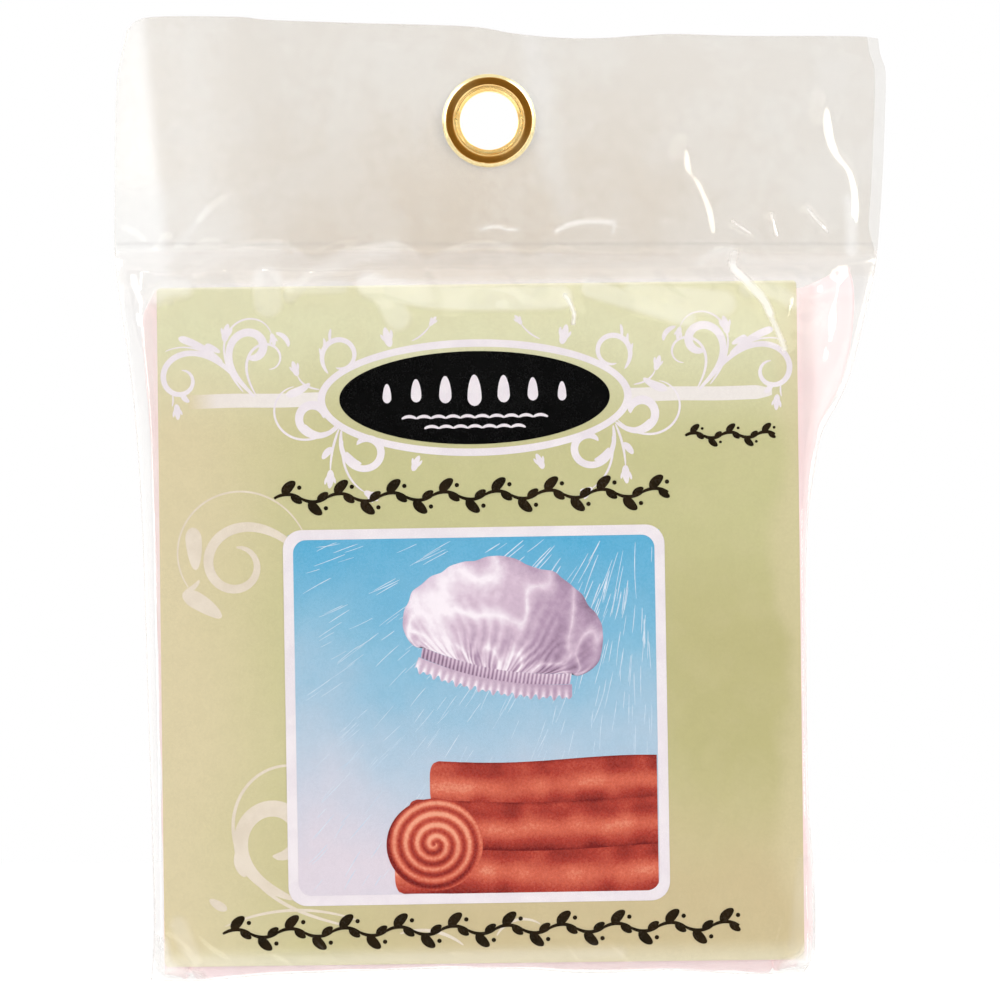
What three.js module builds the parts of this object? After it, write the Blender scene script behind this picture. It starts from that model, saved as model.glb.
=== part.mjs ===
// A vinyl shower cap as it is sold: the cap folded flat in a clear hanging pouch,
// with a printed card in front of it and a brass eyelet through the header.
//
// Millimetres, +Z up, the front faces -Y. The origin is the centre of the eyelet hole,
// which a display hook passes through. The pouch swings on the crease under the header.
import * as THREE from "three";

// Gaps: plies that lie on each other, and parts that are pressed together.
const softGap = 0.3;
const seatGap = 0.1;

// One sheet of clear vinyl, and half the air between two sheets that lie together.
const film = { thickness: 0.2, halfGap: 0.2 };

// Header: the flat part above the crease, measured from the eyelet's centre. The front
// film stops short of the back film at the right.
const header = {
  topLeft: 66.2,
  topRight: 70.9,
  creaseLeft: 67.1,
  creaseRight: 69.6,
  riseLeft: 18.4,
  riseRight: 15.2,
  creaseDrop: 22,
  cornerRadius: 1.6,
  frontInset: 2,
};
// The header's top edge: [share of its width, share of the fall from left to right].
const topEdgeShares = [
  [0.03, 0],
  [0.2, 0.12],
  [0.36, 0.3],
  [0.5, 0.78],
  [0.6, 1.12],
  [0.72, 0.92],
  [0.86, 0.96],
  [0.98, 1],
];

// Weld across the crease, and the weld that joins the two films round the pouch.
const weld = { beadRadius: 0.55, creaseGap: 0.35, width: 1.2 };

// Eyelet: a barrel with a domed flange in front, clinched over a washer behind.
const eyelet = {
  holeRadius: 5.2,
  barrelWall: 0.4,
  flangeWidth: 3.15,
  flangeHeight: 1.5,
  lipReach: 1.1,
  lipHeight: 0.75,
  filmClearance: 0.25,
};
const washer = { underlap: 0.25, height: 0.85, metal: 0.35, boreClearance: 0.15 };

// Printed card, a little askew in the pouch, where it can slide up by its play.
const card = {
  width: 114,
  height: 121,
  thickness: 0.4,
  centreX: -1.5,
  topDrop: 7.4,
  tilt: THREE.MathUtils.degToRad(0.7),
  cornerRadius: 0.8,
  play: 2,
};

// Room that the pouch leaves round the card.
const room = { left: 2.7, right: 1.5, bottom: 2.1, beside: 0.4 };
// The pouch's side edges: [share of the height below the crease, share of the taper].
const leftEdgeShares = [
  [0, 0],
  [0.09, 0.2],
  [0.22, 0.56],
  [0.38, 0.8],
  [0.55, 0.97],
  [0.72, 1.02],
  [0.9, 1.14],
  [1, 1.05],
];
const rightEdgeShares = [
  [0, 0],
  [0.05, 0.06],
  [0.12, 0.21],
  [0.18, 0.37],
  [0.22, 0.51],
  [0.27, 0.79],
  [0.38, 0.99],
  [0.5, 1.02],
  [0.7, 0.97],
  [0.9, 0.89],
  [1, 0.9],
];

// Cap: a vinyl disc, gathered on elastic, book-folded into plies and then folded in half.
const crown = {
  plies: 3,
  plyThickness: 0.6,
  plyGap: 0.35,
  overhang: 0.6,
  topRoom: 1,
  puff: 0.08,
};
// Each ply's width, from the outside of the fold inwards, as a share of the widest.
const plyWidthShares = [1, 0.985, 0.99];

// Hem: the disc's edge turned over the elastic, gathered into a ruffle.
const hem = {
  ringRadius: 53,
  radius: 1.05,
  wall: 0.3,
  skirt: 3.4,
  skirtHalfThickness: 0.5,
  ruffle: 0.4,
  gathers: 30,
};
const elastic = { radius: 0.55 };

// How finely round forms are faceted.
const fineness = {
  ring: 36,
  edge: 3,
  rim: 5,
  flatColumns: 6,
  flatRows: 12,
  turn: 6,
  leg: 6,
  gather: 5,
  cord: 5,
};

// Levels of the folded stack, as distances from the pouch's middle plane.
const crownThickness = crown.plies * crown.plyThickness + (crown.plies - 1) * crown.plyGap;
const crownOuter = (softGap + crownThickness) * (1 + crown.puff);
const hemLevel = crownOuter + softGap + hem.radius;
const hemOuter = hemLevel + hem.radius;
const cardLevel = hemOuter + softGap;
const frontLevel = cardLevel + card.thickness + softGap + film.thickness;
const backLevel = hemOuter + softGap + film.thickness;

// Heights and widths that follow from the card.
const creaseZ = -header.creaseDrop;
const plyFace = film.halfGap + film.thickness;
const flangeRadius = eyelet.holeRadius + eyelet.flangeWidth;
const creaseEdge = weld.beadRadius + weld.creaseGap;
const cardTopZ = creaseZ - card.topDrop;
const cardCentreZ = cardTopZ - card.height / 2;
const cornerRise = (card.width / 2) * Math.sin(card.tilt);
const shoulderZ = cardTopZ + cornerRise + card.play + softGap;
const bottomZ = cardTopZ - card.height - room.bottom;
const bottomFlatZ = cardTopZ - card.height - cornerRise - softGap;
const bodyLeft = card.width / 2 - card.centreX + room.left;
const bodyRight = card.width / 2 + card.centreX + room.right;

const colours = {
  film: { color: 0xe6ded4, roughness: 0.12, metalness: 0, transparent: true, opacity: 0.35 },
  weld: { color: 0xf2ede6, roughness: 0.3, metalness: 0 },
  brass: { color: 0xd6a640, roughness: 0.22, metalness: 1 },
  card: { color: 0xcdc193, roughness: 0.45, metalness: 0 },
  vinyl: { color: 0xf6dadd, roughness: 0.35, metalness: 0 },
  elastic: { color: 0xf4f1ec, roughness: 0.7, metalness: 0 },
};

// The value at x on a line through [x, value] pairs.
function along(pairs, x) {
  const next = pairs.findIndex(([at]) => at >= x);
  if (next <= 0) return pairs[next < 0 ? pairs.length - 1 : 0][1];
  const [x0, v0] = pairs[next - 1];
  const [x1, v1] = pairs[next];
  return v0 + ((v1 - v0) * (x - x0)) / (x1 - x0);
}

// Points on an elliptical arc in a profile, from one angle to another.
function arc(centre, radii, from, to, steps) {
  return Array.from({ length: steps + 1 }, (_, i) => {
    const angle = THREE.MathUtils.degToRad(from + ((to - from) * i) / steps);
    return [centre[0] + radii[0] * Math.cos(angle), centre[1] + radii[1] * Math.sin(angle)];
  });
}

// A closed geometry from points and triangles, turned so that its faces point out.
function closedGeometry(points, triangles) {
  const volume = triangles.reduce((sum, [a, b, c]) => {
    const cross = new THREE.Vector3().crossVectors(points[b], points[c]);
    return sum + points[a].dot(cross);
  }, 0);
  const facing = triangles.map(([a, b, c]) => (volume < 0 ? [a, c, b] : [a, b, c]));
  const geometry = new THREE.BufferGeometry().setFromPoints(points);
  geometry.setIndex(facing.flat());
  geometry.computeVertexNormals();
  return geometry;
}

// Triangles between rows of point numbers; a closed row runs back to its start.
function stitch(rows, closeRows, closeColumns) {
  const triangles = [];
  const rowCount = closeRows ? rows.length : rows.length - 1;
  for (let i = 0; i < rowCount; i++) {
    const row = rows[i];
    const next = rows[(i + 1) % rows.length];
    const columnCount = closeColumns ? row.length : row.length - 1;
    for (let j = 0; j < columnCount; j++) {
      const k = (j + 1) % row.length;
      triangles.push([row[j], row[k], next[k]], [row[j], next[k], next[j]]);
    }
  }
  return triangles;
}

// Point numbers of a grid whose first point is number start.
function numbered(grid, start) {
  return grid.map((row, i) => row.map((_, j) => start + i * row.length + j));
}

// A sheet between two grids of the same shape, closed round its rim.
function sheetBetween(outer, inner) {
  const outerRows = numbered(outer, 0);
  const innerRows = numbered(inner, outer.length * outer[0].length);
  const rim = (rows) => {
    const last = rows.length - 1;
    const right = rows.map((row) => row[row.length - 1]);
    const left = rows.map((row) => row[0]);
    const bottom = rows[last].slice(1, -1);
    return [...rows[0].slice(0, -1), ...right, ...bottom.reverse(), ...left.slice(1).reverse()];
  };
  const triangles = [
    ...stitch(outerRows, false, false),
    ...stitch(innerRows, false, false).map(([a, b, c]) => [a, c, b]),
    ...stitch([rim(innerRows), rim(outerRows)], false, true),
  ];
  return closedGeometry([...outer.flat(), ...inner.flat()], triangles);
}

// A closed section swept through stations; stations of an open path get end caps.
function sweep(stations, closedPath, capTriangles) {
  const rows = numbered(stations, 0);
  const triangles = stitch(rows, closedPath, true);
  if (!closedPath) {
    const first = rows[0];
    const last = rows[rows.length - 1];
    capTriangles.forEach(([a, b, c]) => {
      triangles.push([first[a], first[c], first[b]], [last[a], last[b], last[c]]);
    });
  }
  return closedGeometry(stations.flat(), triangles);
}

// A flat plate with an outline in X and Z; its front face lies at frontY.
function uprightPlate(shape, thickness, frontY) {
  const geometry = new THREE.ExtrudeGeometry(shape, {
    depth: thickness,
    bevelEnabled: false,
    curveSegments: fineness.edge,
  });
  geometry.rotateX(Math.PI / 2);
  geometry.translate(0, frontY + thickness, 0);
  return geometry;
}

// Unit normals of a grid of points, pointing to the side that faces away from y = 0.
function gridNormals(grid, side) {
  const at = (i, j) => {
    const row = grid[THREE.MathUtils.clamp(i, 0, grid.length - 1)];
    return row[THREE.MathUtils.clamp(j, 0, row.length - 1)];
  };
  return grid.map((row, i) =>
    row.map((_, j) => {
      const across = at(i, j + 1).clone().sub(at(i, j - 1));
      const down = at(i + 1, j).clone().sub(at(i - 1, j));
      return across.cross(down).normalize().multiplyScalar(-side);
    }),
  );
}

// How far the pouch's side edge has come in from the header, at a height z.
function pouchEdge(shares, atCrease, atBody, z) {
  const share = (creaseZ - z) / (creaseZ - bottomZ);
  return atCrease + (atBody - atCrease) * along(shares, share);
}

// Left edge, flat zone and right edge of the pouch at a height z.
function pouchSpan(z) {
  const lean = Math.tan(card.tilt) * (cardCentreZ - z);
  const half = card.width / 2 + room.beside;
  const left = -pouchEdge(leftEdgeShares, header.creaseLeft, bodyLeft, z);
  const right = pouchEdge(rightEdgeShares, header.creaseRight, bodyRight, z);
  return {
    left,
    right,
    flatLeft: Math.max(card.centreX + lean - half, left + film.thickness),
    flatRight: Math.min(card.centreX + lean + half, right - film.thickness),
  };
}

// Rows of the pouch: height, and how full the pouch is there at its top and bottom.
function pouchRows() {
  const rows = [];
  const startZ = creaseZ - creaseEdge;
  for (let i = 0; i <= fineness.rim; i++) {
    const share = i / fineness.rim;
    const z = startZ + (shoulderZ - startZ) * share;
    rows.push({ z, top: share * share * (3 - 2 * share), bottom: 1 });
  }
  for (let i = 1; i <= fineness.flatRows; i++) {
    rows.push({ z: shoulderZ + ((bottomFlatZ - shoulderZ) * i) / fineness.flatRows, top: 1, bottom: 1 });
  }
  for (let i = 1; i <= fineness.rim; i++) {
    const angle = (Math.PI / 2) * (i / fineness.rim);
    const z = bottomFlatZ + (bottomZ - bottomFlatZ) * Math.sin(angle);
    rows.push({ z, top: 1, bottom: i === fineness.rim ? 0 : Math.cos(angle) });
  }
  return rows;
}

// One row's points across the pouch: round at both sides, flat over the card.
function pouchColumns(span) {
  const columns = [];
  for (let j = fineness.rim; j > 0; j--) {
    const angle = (Math.PI / 2) * (j / fineness.rim);
    const x = span.flatLeft + (span.left - span.flatLeft) * Math.sin(angle);
    columns.push({ x, fill: j === fineness.rim ? 0 : Math.cos(angle) });
  }
  for (let j = 0; j <= fineness.flatColumns; j++) {
    const share = j / fineness.flatColumns;
    columns.push({ x: span.flatLeft + (span.flatRight - span.flatLeft) * share, fill: 1 });
  }
  for (let j = 1; j <= fineness.rim; j++) {
    const angle = (Math.PI / 2) * (j / fineness.rim);
    const x = span.flatRight + (span.right - span.flatRight) * Math.sin(angle);
    columns.push({ x, fill: j === fineness.rim ? 0 : Math.cos(angle) });
  }
  return columns;
}

// Front (side -1) or back (side 1) film of the pouch, bulging to a level.
function pouchPanel(side, level) {
  const depth = level - film.halfGap;
  const outer = pouchRows().map(({ z, top, bottom }) =>
    pouchColumns(pouchSpan(z)).map(({ x, fill }) => {
      const lift = film.thickness * (1 - top) + depth * fill * top * bottom;
      return new THREE.Vector3(x, side * (film.halfGap + lift), z);
    }),
  );
  const normals = gridNormals(outer, side);
  const inner = outer.map((row, i) =>
    row.map((point, j) => {
      const moved = point.clone().addScaledVector(normals[i][j], -film.thickness);
      moved.y = side * Math.max(side * moved.y, film.halfGap);
      if (i === 0) moved.z = point.z;
      return moved;
    }),
  );
  return sheetBetween(outer, inner);
}

// The weld between the two films: down the left edge, along the bottom and up the right.
function edgeWeld() {
  const heights = pouchRows().map((row) => row.z);
  const innerHeights = [...heights.filter((z) => z > bottomZ + weld.width), bottomZ + weld.width];
  const edge = (side, inset, levels) => {
    return levels.map((z) => new THREE.Vector2(pouchSpan(z)[side] + inset, z));
  };
  const shape = new THREE.Shape([
    ...edge("left", 0, heights),
    ...edge("right", 0, [...heights].reverse()),
    ...edge("right", -weld.width, innerHeights),
    ...edge("left", weld.width, [...innerHeights].reverse()),
  ]);
  const half = film.halfGap - seatGap;
  return uprightPlate(shape, 2 * half, -half);
}

// Outline of a header film, in X and Z, with the hole for the eyelet's barrel.
function headerShape(rightInset) {
  const lower = creaseZ + creaseEdge;
  const topRight = header.topRight - rightInset;
  const width = header.topLeft + topRight;
  const fall = header.riseLeft - header.riseRight;
  const top = topEdgeShares.map(([across, down]) => {
    return new THREE.Vector2(across * width - header.topLeft, header.riseLeft - fall * down);
  });
  const shape = new THREE.Shape();
  shape.moveTo(-header.creaseLeft, lower);
  shape.lineTo(header.creaseRight - rightInset, lower);
  shape.lineTo(topRight, header.riseRight - header.cornerRadius);
  shape.splineThru(top.reverse());
  shape.lineTo(-header.topLeft, header.riseLeft - header.cornerRadius);
  shape.closePath();
  const holeRadius = eyelet.holeRadius + eyelet.barrelWall + eyelet.filmClearance;
  const round = arc([0, 0], [holeRadius, holeRadius], 360, 360 / fineness.ring, fineness.ring - 1);
  shape.holes.push(new THREE.Path(round.map(([x, z]) => new THREE.Vector2(x, z))));
  return shape;
}

// A closed profile of [radius, y] points turned about the eyelet's axis.
function turned(profile) {
  const points = profile.map(([radius, y]) => new THREE.Vector2(radius, y));
  if (THREE.ShapeUtils.area(points) < 0) points.reverse();
  points.push(points[0].clone());
  return new THREE.LatheGeometry(points, fineness.ring);
}

function headerFilm(rightInset, frontY) {
  return uprightPlate(headerShape(rightInset), film.thickness, frontY);
}

// Barrel, domed front flange and the lip that is rolled over the washer.
function eyeletBarrel() {
  const seat = -(plyFace + seatGap);
  const wallRadius = eyelet.holeRadius + eyelet.barrelWall;
  const domeReach = eyelet.flangeWidth / 2;
  const domeCentre = eyelet.holeRadius + domeReach;
  const lipY = plyFace + seatGap + washer.height + seatGap;
  const lipCentre = wallRadius + eyelet.lipReach / 2;
  const lipRadii = [eyelet.lipReach / 2, eyelet.lipHeight];
  const throat = [eyelet.holeRadius, lipY];
  return turned([
    ...arc([domeCentre, seat], [domeReach, eyelet.flangeHeight], 180, 360, 8),
    [wallRadius, seat],
    [wallRadius, lipY],
    ...arc([lipCentre, lipY], lipRadii, 0, 130, 4),
    throat,
  ]);
}

// Dished ring between the back film and the rolled lip.
function eyeletWasher() {
  const radius = flangeRadius - washer.underlap;
  const bore = eyelet.holeRadius + eyelet.barrelWall + washer.boreClearance;
  const front = plyFace + seatGap;
  const crest = front + washer.height;
  return turned([
    [bore, crest - washer.metal],
    [bore, crest],
    [bore + eyelet.lipReach, crest],
    ...arc([radius - washer.height, front], [washer.height, washer.height], 80, 0, 4),
    [radius - washer.metal, front],
    [radius - washer.height - washer.metal, crest - washer.metal],
  ]);
}

function creaseWeld() {
  const length = header.creaseLeft + header.creaseRight - 2 * softGap;
  const geometry = new THREE.CylinderGeometry(weld.beadRadius, weld.beadRadius, length, 12);
  geometry.rotateZ(Math.PI / 2);
  geometry.translate((header.creaseRight - header.creaseLeft) / 2, 0, creaseZ);
  return geometry;
}

function insertCard() {
  const halfWidth = card.width / 2;
  const halfHeight = card.height / 2;
  const corner = card.cornerRadius;
  const shape = new THREE.Shape();
  shape.absarc(halfWidth - corner, halfHeight - corner, corner, 0, Math.PI / 2);
  shape.absarc(corner - halfWidth, halfHeight - corner, corner, Math.PI / 2, Math.PI);
  shape.absarc(corner - halfWidth, corner - halfHeight, corner, Math.PI, (Math.PI * 3) / 2);
  shape.absarc(halfWidth - corner, corner - halfHeight, corner, (Math.PI * 3) / 2, Math.PI * 2);
  const geometry = new THREE.ExtrudeGeometry(shape, {
    depth: card.thickness,
    bevelEnabled: false,
    curveSegments: fineness.edge,
  });
  return geometry.rotateX(Math.PI / 2);
}

// Where the cap is folded in half: the axis of the bend at the foot of the pouch.
const foldZ = bottomZ + weld.width + softGap + hemOuter;
const crownTopZ = cardTopZ - crown.topRoom;
const crownHalf = (card.width + crown.overhang) / 2;
const crownCentreX = card.centreX - crown.overhang / 2;

// A point of the folded cap. Run is measured from the foot of the bend, negative on the
// front half and positive on the back half; level is the distance from the fold's middle.
function folded(x, run, level) {
  const bend = (hemLevel * Math.PI) / 2;
  const angle = (Math.PI / 2) * THREE.MathUtils.clamp(run / bend, -1, 1);
  const up = Math.max(Math.abs(run) - bend, 0);
  return new THREE.Vector3(x, level * Math.sin(angle), foldZ - level * Math.cos(angle) + up);
}

// Outline of the book-folded plies across the pouch: [x, level] points of one closed band
// that turns back on itself at alternate sides, and the panel that each point is on.
function plyOutline() {
  const half = crown.plyThickness / 2;
  const pitch = crown.plyThickness + crown.plyGap;
  const turnRadius = pitch / 2;
  const near = [];
  const far = [];
  for (let ply = 0; ply < crown.plies; ply++) {
    const level = softGap + half + pitch * (crown.plies - 1 - ply);
    const way = ply % 2 === 0 ? 1 : -1;
    const reach = crownHalf * plyWidthShares[ply % plyWidthShares.length] - turnRadius - half;
    for (let i = 0; i <= fineness.leg; i++) {
      const x = way * reach * ((2 * i) / fineness.leg - 1);
      near.push([x, level - way * half]);
      far.push([x, level + way * half]);
    }
    if (ply === crown.plies - 1) continue;
    for (let i = 1; i < fineness.turn; i++) {
      const angle = Math.PI / 2 - (Math.PI * i) / fineness.turn;
      const out = way * Math.cos(angle);
      const down = Math.sin(angle);
      const centre = level - turnRadius;
      const nearRadius = way > 0 ? turnRadius - half : turnRadius + half;
      const farRadius = way > 0 ? turnRadius + half : turnRadius - half;
      near.push([way * reach + out * nearRadius, centre + down * nearRadius]);
      far.push([way * reach + out * farRadius, centre + down * farRadius]);
    }
  }
  return { near, far };
}

// How much the folded plies swell at a place: most in the middle, none at the edges.
function puffAt(x, run, length) {
  const across = Math.cos((Math.PI / 2) * THREE.MathUtils.clamp(x / crownHalf, -1, 1));
  const upward = Math.sin(Math.PI * THREE.MathUtils.clamp(Math.abs(run) / length, 0, 1));
  return 1 + crown.puff * across * upward;
}

// The crown: the folded plies carried down the front, round the bend and up the back.
function capCrown() {
  const bend = (hemLevel * Math.PI) / 2;
  const length = bend + (crownTopZ - foldZ);
  const runs = [];
  for (let i = 0; i < fineness.leg; i++) runs.push(-length + ((length - bend) * i) / fineness.leg);
  for (let i = -fineness.turn; i <= fineness.turn; i++) runs.push((bend * i) / fineness.turn);
  for (let i = 1; i <= fineness.leg; i++) runs.push(bend + ((length - bend) * i) / fineness.leg);
  const { near, far } = plyOutline();
  const count = near.length;
  const section = [...near, ...far.reverse()];
  const stations = runs.map((run) =>
    section.map(([x, level]) => folded(crownCentreX + x, run, level * puffAt(x, run, length))),
  );
  const caps = [];
  for (let i = 0; i < count - 1; i++) {
    const a = 2 * count - 1 - i;
    caps.push([i, i + 1, a - 1], [i, a - 1, a]);
  }
  return sweep(stations, false, caps);
}

// Section of the hem: [outward, level] points of a turned-over edge that is open outwards.
function hemSection() {
  const inside = hem.radius - hem.wall;
  const slit = hem.skirtHalfThickness - hem.wall;
  const steps = 4;
  return [
    [hem.skirt, hem.skirtHalfThickness],
    ...arc([0, 0], [hem.radius, hem.radius], 90, 270, steps),
    [hem.skirt, -hem.skirtHalfThickness],
    [hem.skirt, -slit],
    ...arc([0, 0], [inside, inside], 270, 90, steps),
    [hem.skirt, slit],
  ];
}

// Steps round the hem and the elastic in it.
const ringSteps = hem.gathers * fineness.gather;

// The hem's ring, folded over with the crown, its skirt waving once for each gather.
function capHem() {
  const section = hemSection();
  const stations = Array.from({ length: ringSteps }, (_, i) => {
    const angle = (Math.PI * 2 * i) / ringSteps;
    const wave = angle * hem.gathers;
    return section.map(([outward, level]) => {
      const share = Math.max(outward, 0) / hem.skirt;
      const radius = hem.ringRadius + outward * (1 + hem.ruffle * share * 0.5 * Math.cos(wave));
      const lift = hem.ruffle * share * Math.sin(wave);
      const x = crownCentreX + radius * Math.cos(angle);
      return folded(x, radius * Math.sin(angle), hemLevel + level + lift);
    });
  });
  return sweep(stations, true, []);
}

// The elastic that runs inside the hem.
function capElastic() {
  const sides = fineness.cord;
  const stations = Array.from({ length: ringSteps }, (_, i) => {
    const angle = (Math.PI * 2 * i) / ringSteps;
    return arc([0, 0], [elastic.radius, elastic.radius], 0, 360 - 360 / sides, sides - 1).map(
      ([outward, level]) => {
        const radius = hem.ringRadius + outward;
        const x = crownCentreX + radius * Math.cos(angle);
        return folded(x, radius * Math.sin(angle), hemLevel + level);
      },
    );
  });
  return sweep(stations, true, []);
}

function piece(name, geometry, finish) {
  const mesh = new THREE.Mesh(geometry, new THREE.MeshStandardMaterial(finish));
  mesh.name = name;
  return mesh;
}

const headerGroup = new THREE.Group();
headerGroup.add(
  piece("header_front_film", headerFilm(header.frontInset, -plyFace), colours.film),
  piece("header_back_film", headerFilm(0, film.halfGap), colours.film),
  piece("crease_weld", creaseWeld(), colours.weld),
  piece("eyelet_barrel", eyeletBarrel(), colours.brass),
  piece("eyelet_washer", eyeletWasher(), colours.brass),
);

const pouchGroup = new THREE.Group();
pouchGroup.add(
  piece("pouch_front_film", pouchPanel(-1, frontLevel), colours.film),
  piece("pouch_back_film", pouchPanel(1, backLevel), colours.film),
  piece("edge_weld", edgeWeld(), colours.weld),
);

const insert = piece("insert_card", insertCard(), colours.card);
insert.position.set(card.centreX, -cardLevel, cardCentreZ);
insert.rotation.y = -card.tilt;

const capGroup = new THREE.Group();
capGroup.add(
  piece("cap_crown", capCrown(), colours.vinyl),
  piece("cap_hem", capHem(), colours.vinyl),
  piece("cap_elastic", capElastic(), colours.elastic),
);

const pack = new THREE.Group();
pack.add(headerGroup, pouchGroup, insert, capGroup);

export default pack;
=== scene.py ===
"""A vinyl shower cap, folded in its clear hanging pouch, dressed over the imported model.

The frame is in metres, +Z up as the pouch hangs, and the printed front faces -Y. Sizes in the
classes are millimetres, as they would be measured on the bench; MM turns them into metres.
"""
import functools
import logging
import math
from dataclasses import dataclass, field, replace
from enum import Enum
from typing import Any, Callable, Sequence

import bpy
import numpy as np
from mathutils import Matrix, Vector


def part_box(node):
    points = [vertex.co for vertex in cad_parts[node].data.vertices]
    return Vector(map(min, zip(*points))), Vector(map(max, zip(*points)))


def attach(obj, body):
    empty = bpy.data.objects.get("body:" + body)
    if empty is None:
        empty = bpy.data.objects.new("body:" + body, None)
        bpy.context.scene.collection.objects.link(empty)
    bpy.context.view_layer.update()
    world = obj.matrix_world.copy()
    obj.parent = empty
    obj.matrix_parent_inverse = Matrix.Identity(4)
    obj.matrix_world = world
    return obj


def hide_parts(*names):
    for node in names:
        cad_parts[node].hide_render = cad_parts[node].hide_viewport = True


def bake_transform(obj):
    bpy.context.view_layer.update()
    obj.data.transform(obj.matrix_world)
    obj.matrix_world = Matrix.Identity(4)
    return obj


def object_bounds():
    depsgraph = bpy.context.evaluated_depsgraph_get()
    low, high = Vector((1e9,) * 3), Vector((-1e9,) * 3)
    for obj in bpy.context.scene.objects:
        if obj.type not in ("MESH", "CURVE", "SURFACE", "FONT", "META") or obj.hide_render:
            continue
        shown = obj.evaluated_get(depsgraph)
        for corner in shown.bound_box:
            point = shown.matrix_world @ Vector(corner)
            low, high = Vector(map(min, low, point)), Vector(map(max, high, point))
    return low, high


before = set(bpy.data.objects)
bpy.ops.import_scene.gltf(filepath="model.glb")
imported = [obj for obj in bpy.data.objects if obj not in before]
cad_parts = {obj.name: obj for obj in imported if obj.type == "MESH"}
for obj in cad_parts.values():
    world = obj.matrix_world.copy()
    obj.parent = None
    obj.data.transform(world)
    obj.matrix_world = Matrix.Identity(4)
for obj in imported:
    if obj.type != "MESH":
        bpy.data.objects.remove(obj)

CAD_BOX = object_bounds()
MM = 0.001
log = logging.getLogger("shower_cap")

# The photograph is seen square on. These three values turn its pixels into millimetres.
PIXELS_PER_MM = 5.6
EYELET_PIXEL = (489.0, 120.0)
MIDDLE_PIXEL = (500.0, 500.0)

Array = np.ndarray
Colour = tuple[float, float, float, float]
Pair = tuple[float, float]
Line = tuple[Pair, ...]
Node = bpy.types.Node
Object = bpy.types.Object
Shape = tuple[Array, Array]
Socket = bpy.types.NodeSocket
Tree = bpy.types.NodeTree


def from_photo(pixel: Sequence[float]) -> tuple[float, float]:
    """Turns a pixel of the photograph into X and Z in millimetres from the eyelet's centre."""
    across, down = pixel
    return (across - EYELET_PIXEL[0]) / PIXELS_PER_MM, (EYELET_PIXEL[1] - down) / PIXELS_PER_MM


def node_box(name: str) -> tuple[Array, Array]:
    """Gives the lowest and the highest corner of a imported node, in millimetres."""
    low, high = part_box(name)
    return np.array(low) / MM, np.array(high) / MM


def paint(red: float, green: float, blue: float) -> Colour:
    """Turns a colour as a screen shows it into the linear one that a shader takes.

    Args:
        red: from 0 to 255.
        green: from 0 to 255.
        blue: from 0 to 255.

    Returns:
        The linear colour with an alpha of 1.
    """
    linear = []
    for part in (red, green, blue):
        share = part / 255
        linear.append(share / 12.92 if share <= 0.04045 else ((share + 0.055) / 1.055) ** 2.4)
    return (*linear, 1.0)


def ease(value: Array) -> Array:
    """Smooths a share from 0 to 1, with flat ends; a value beyond them is clipped."""
    share = np.clip(value, 0, 1)
    return share * share * (3 - 2 * share)


def curve_through(points: Sequence[Sequence[float]], steps: int = 8) -> Array:
    """Draws a smooth curve through a few points.

    Args:
        points: the points, at least two.
        steps: how many pieces each stretch is cut into.

    Returns:
        The curve's points.
    """
    given = np.array(points, float)
    ends = np.vstack([2 * given[0] - given[1], given, 2 * given[-1] - given[-2]])
    share = np.linspace(0, 1, steps, endpoint=False)[:, None]
    runs = []
    for before, start, end, after in zip(ends, ends[1:], ends[2:], ends[3:]):
        runs.append(
            0.5 * (2 * start + (end - before) * share)
            + 0.5 * (2 * before - 5 * start + 4 * end - after) * share**2
            + 0.5 * (3 * start - before - 3 * end + after) * share**3
        )
    return np.vstack([*runs, given[-1:]])


def reading(points: Sequence[Sequence[float]]) -> Callable[[Array], Array]:
    """Makes a smooth function of one value from pairs of a place and the value there."""
    line = curve_through(sorted(points))
    return lambda place: np.interp(place, line[:, 0], line[:, 1])


class SoftNoise:
    """Smooth seeded noise over a plane, from -1 to 1."""

    SIDE = 64

    def __init__(self, seed: int) -> None:
        """Draws the lattice; the same seed gives the same noise in each run."""
        self.lattice = np.random.default_rng(seed).uniform(-1, 1, (self.SIDE, self.SIDE))

    def at(self, across: Array, up: Array, wide: float, tall: float | None = None) -> Array:
        """Gives the noise at places.

        Args:
            across: places along the first axis.
            up: places along the second axis.
            wide: size of a cell along the first axis.
            tall: size of a cell along the second axis, or None for square cells.

        Returns:
            The noise at each place.
        """
        first = np.asarray(across) / wide
        second = np.asarray(up) / (tall or wide)
        column = np.floor(first).astype(int)
        row = np.floor(second).astype(int)
        ahead = ease(first - column)
        above = ease(second - row)
        near = self.lattice[row % self.SIDE, column % self.SIDE]
        right = self.lattice[row % self.SIDE, (column + 1) % self.SIDE]
        over = self.lattice[(row + 1) % self.SIDE, column % self.SIDE]
        far = self.lattice[(row + 1) % self.SIDE, (column + 1) % self.SIDE]
        low = near + (right - near) * ahead
        return low + (over + (far - over) * ahead - low) * above

    def creases(self, across: Array, up: Array, wide: float, tall: float | None = None) -> Array:
        """Gives sharp crests with soft valleys, from 0 to 1; it takes what at() takes."""
        return (1 - np.abs(self.at(across, up, wide, tall))) ** 3


def grid_quads(rows: int, columns: int, closed: bool = False) -> Array:
    """Numbers the faces of a grid of points.

    Args:
        rows: how many rows of points.
        columns: how many points in each row.
        closed: whether each row runs back to its start.

    Returns:
        One face of four point numbers in each line.
    """
    start = np.arange(rows - 1)[:, None] * columns
    here = np.arange(columns if closed else columns - 1)
    there = (here + 1) % columns
    corners = (start + here, start + columns + here, start + columns + there, start + there)
    return np.stack(corners, -1).reshape(-1, 4)


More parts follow.
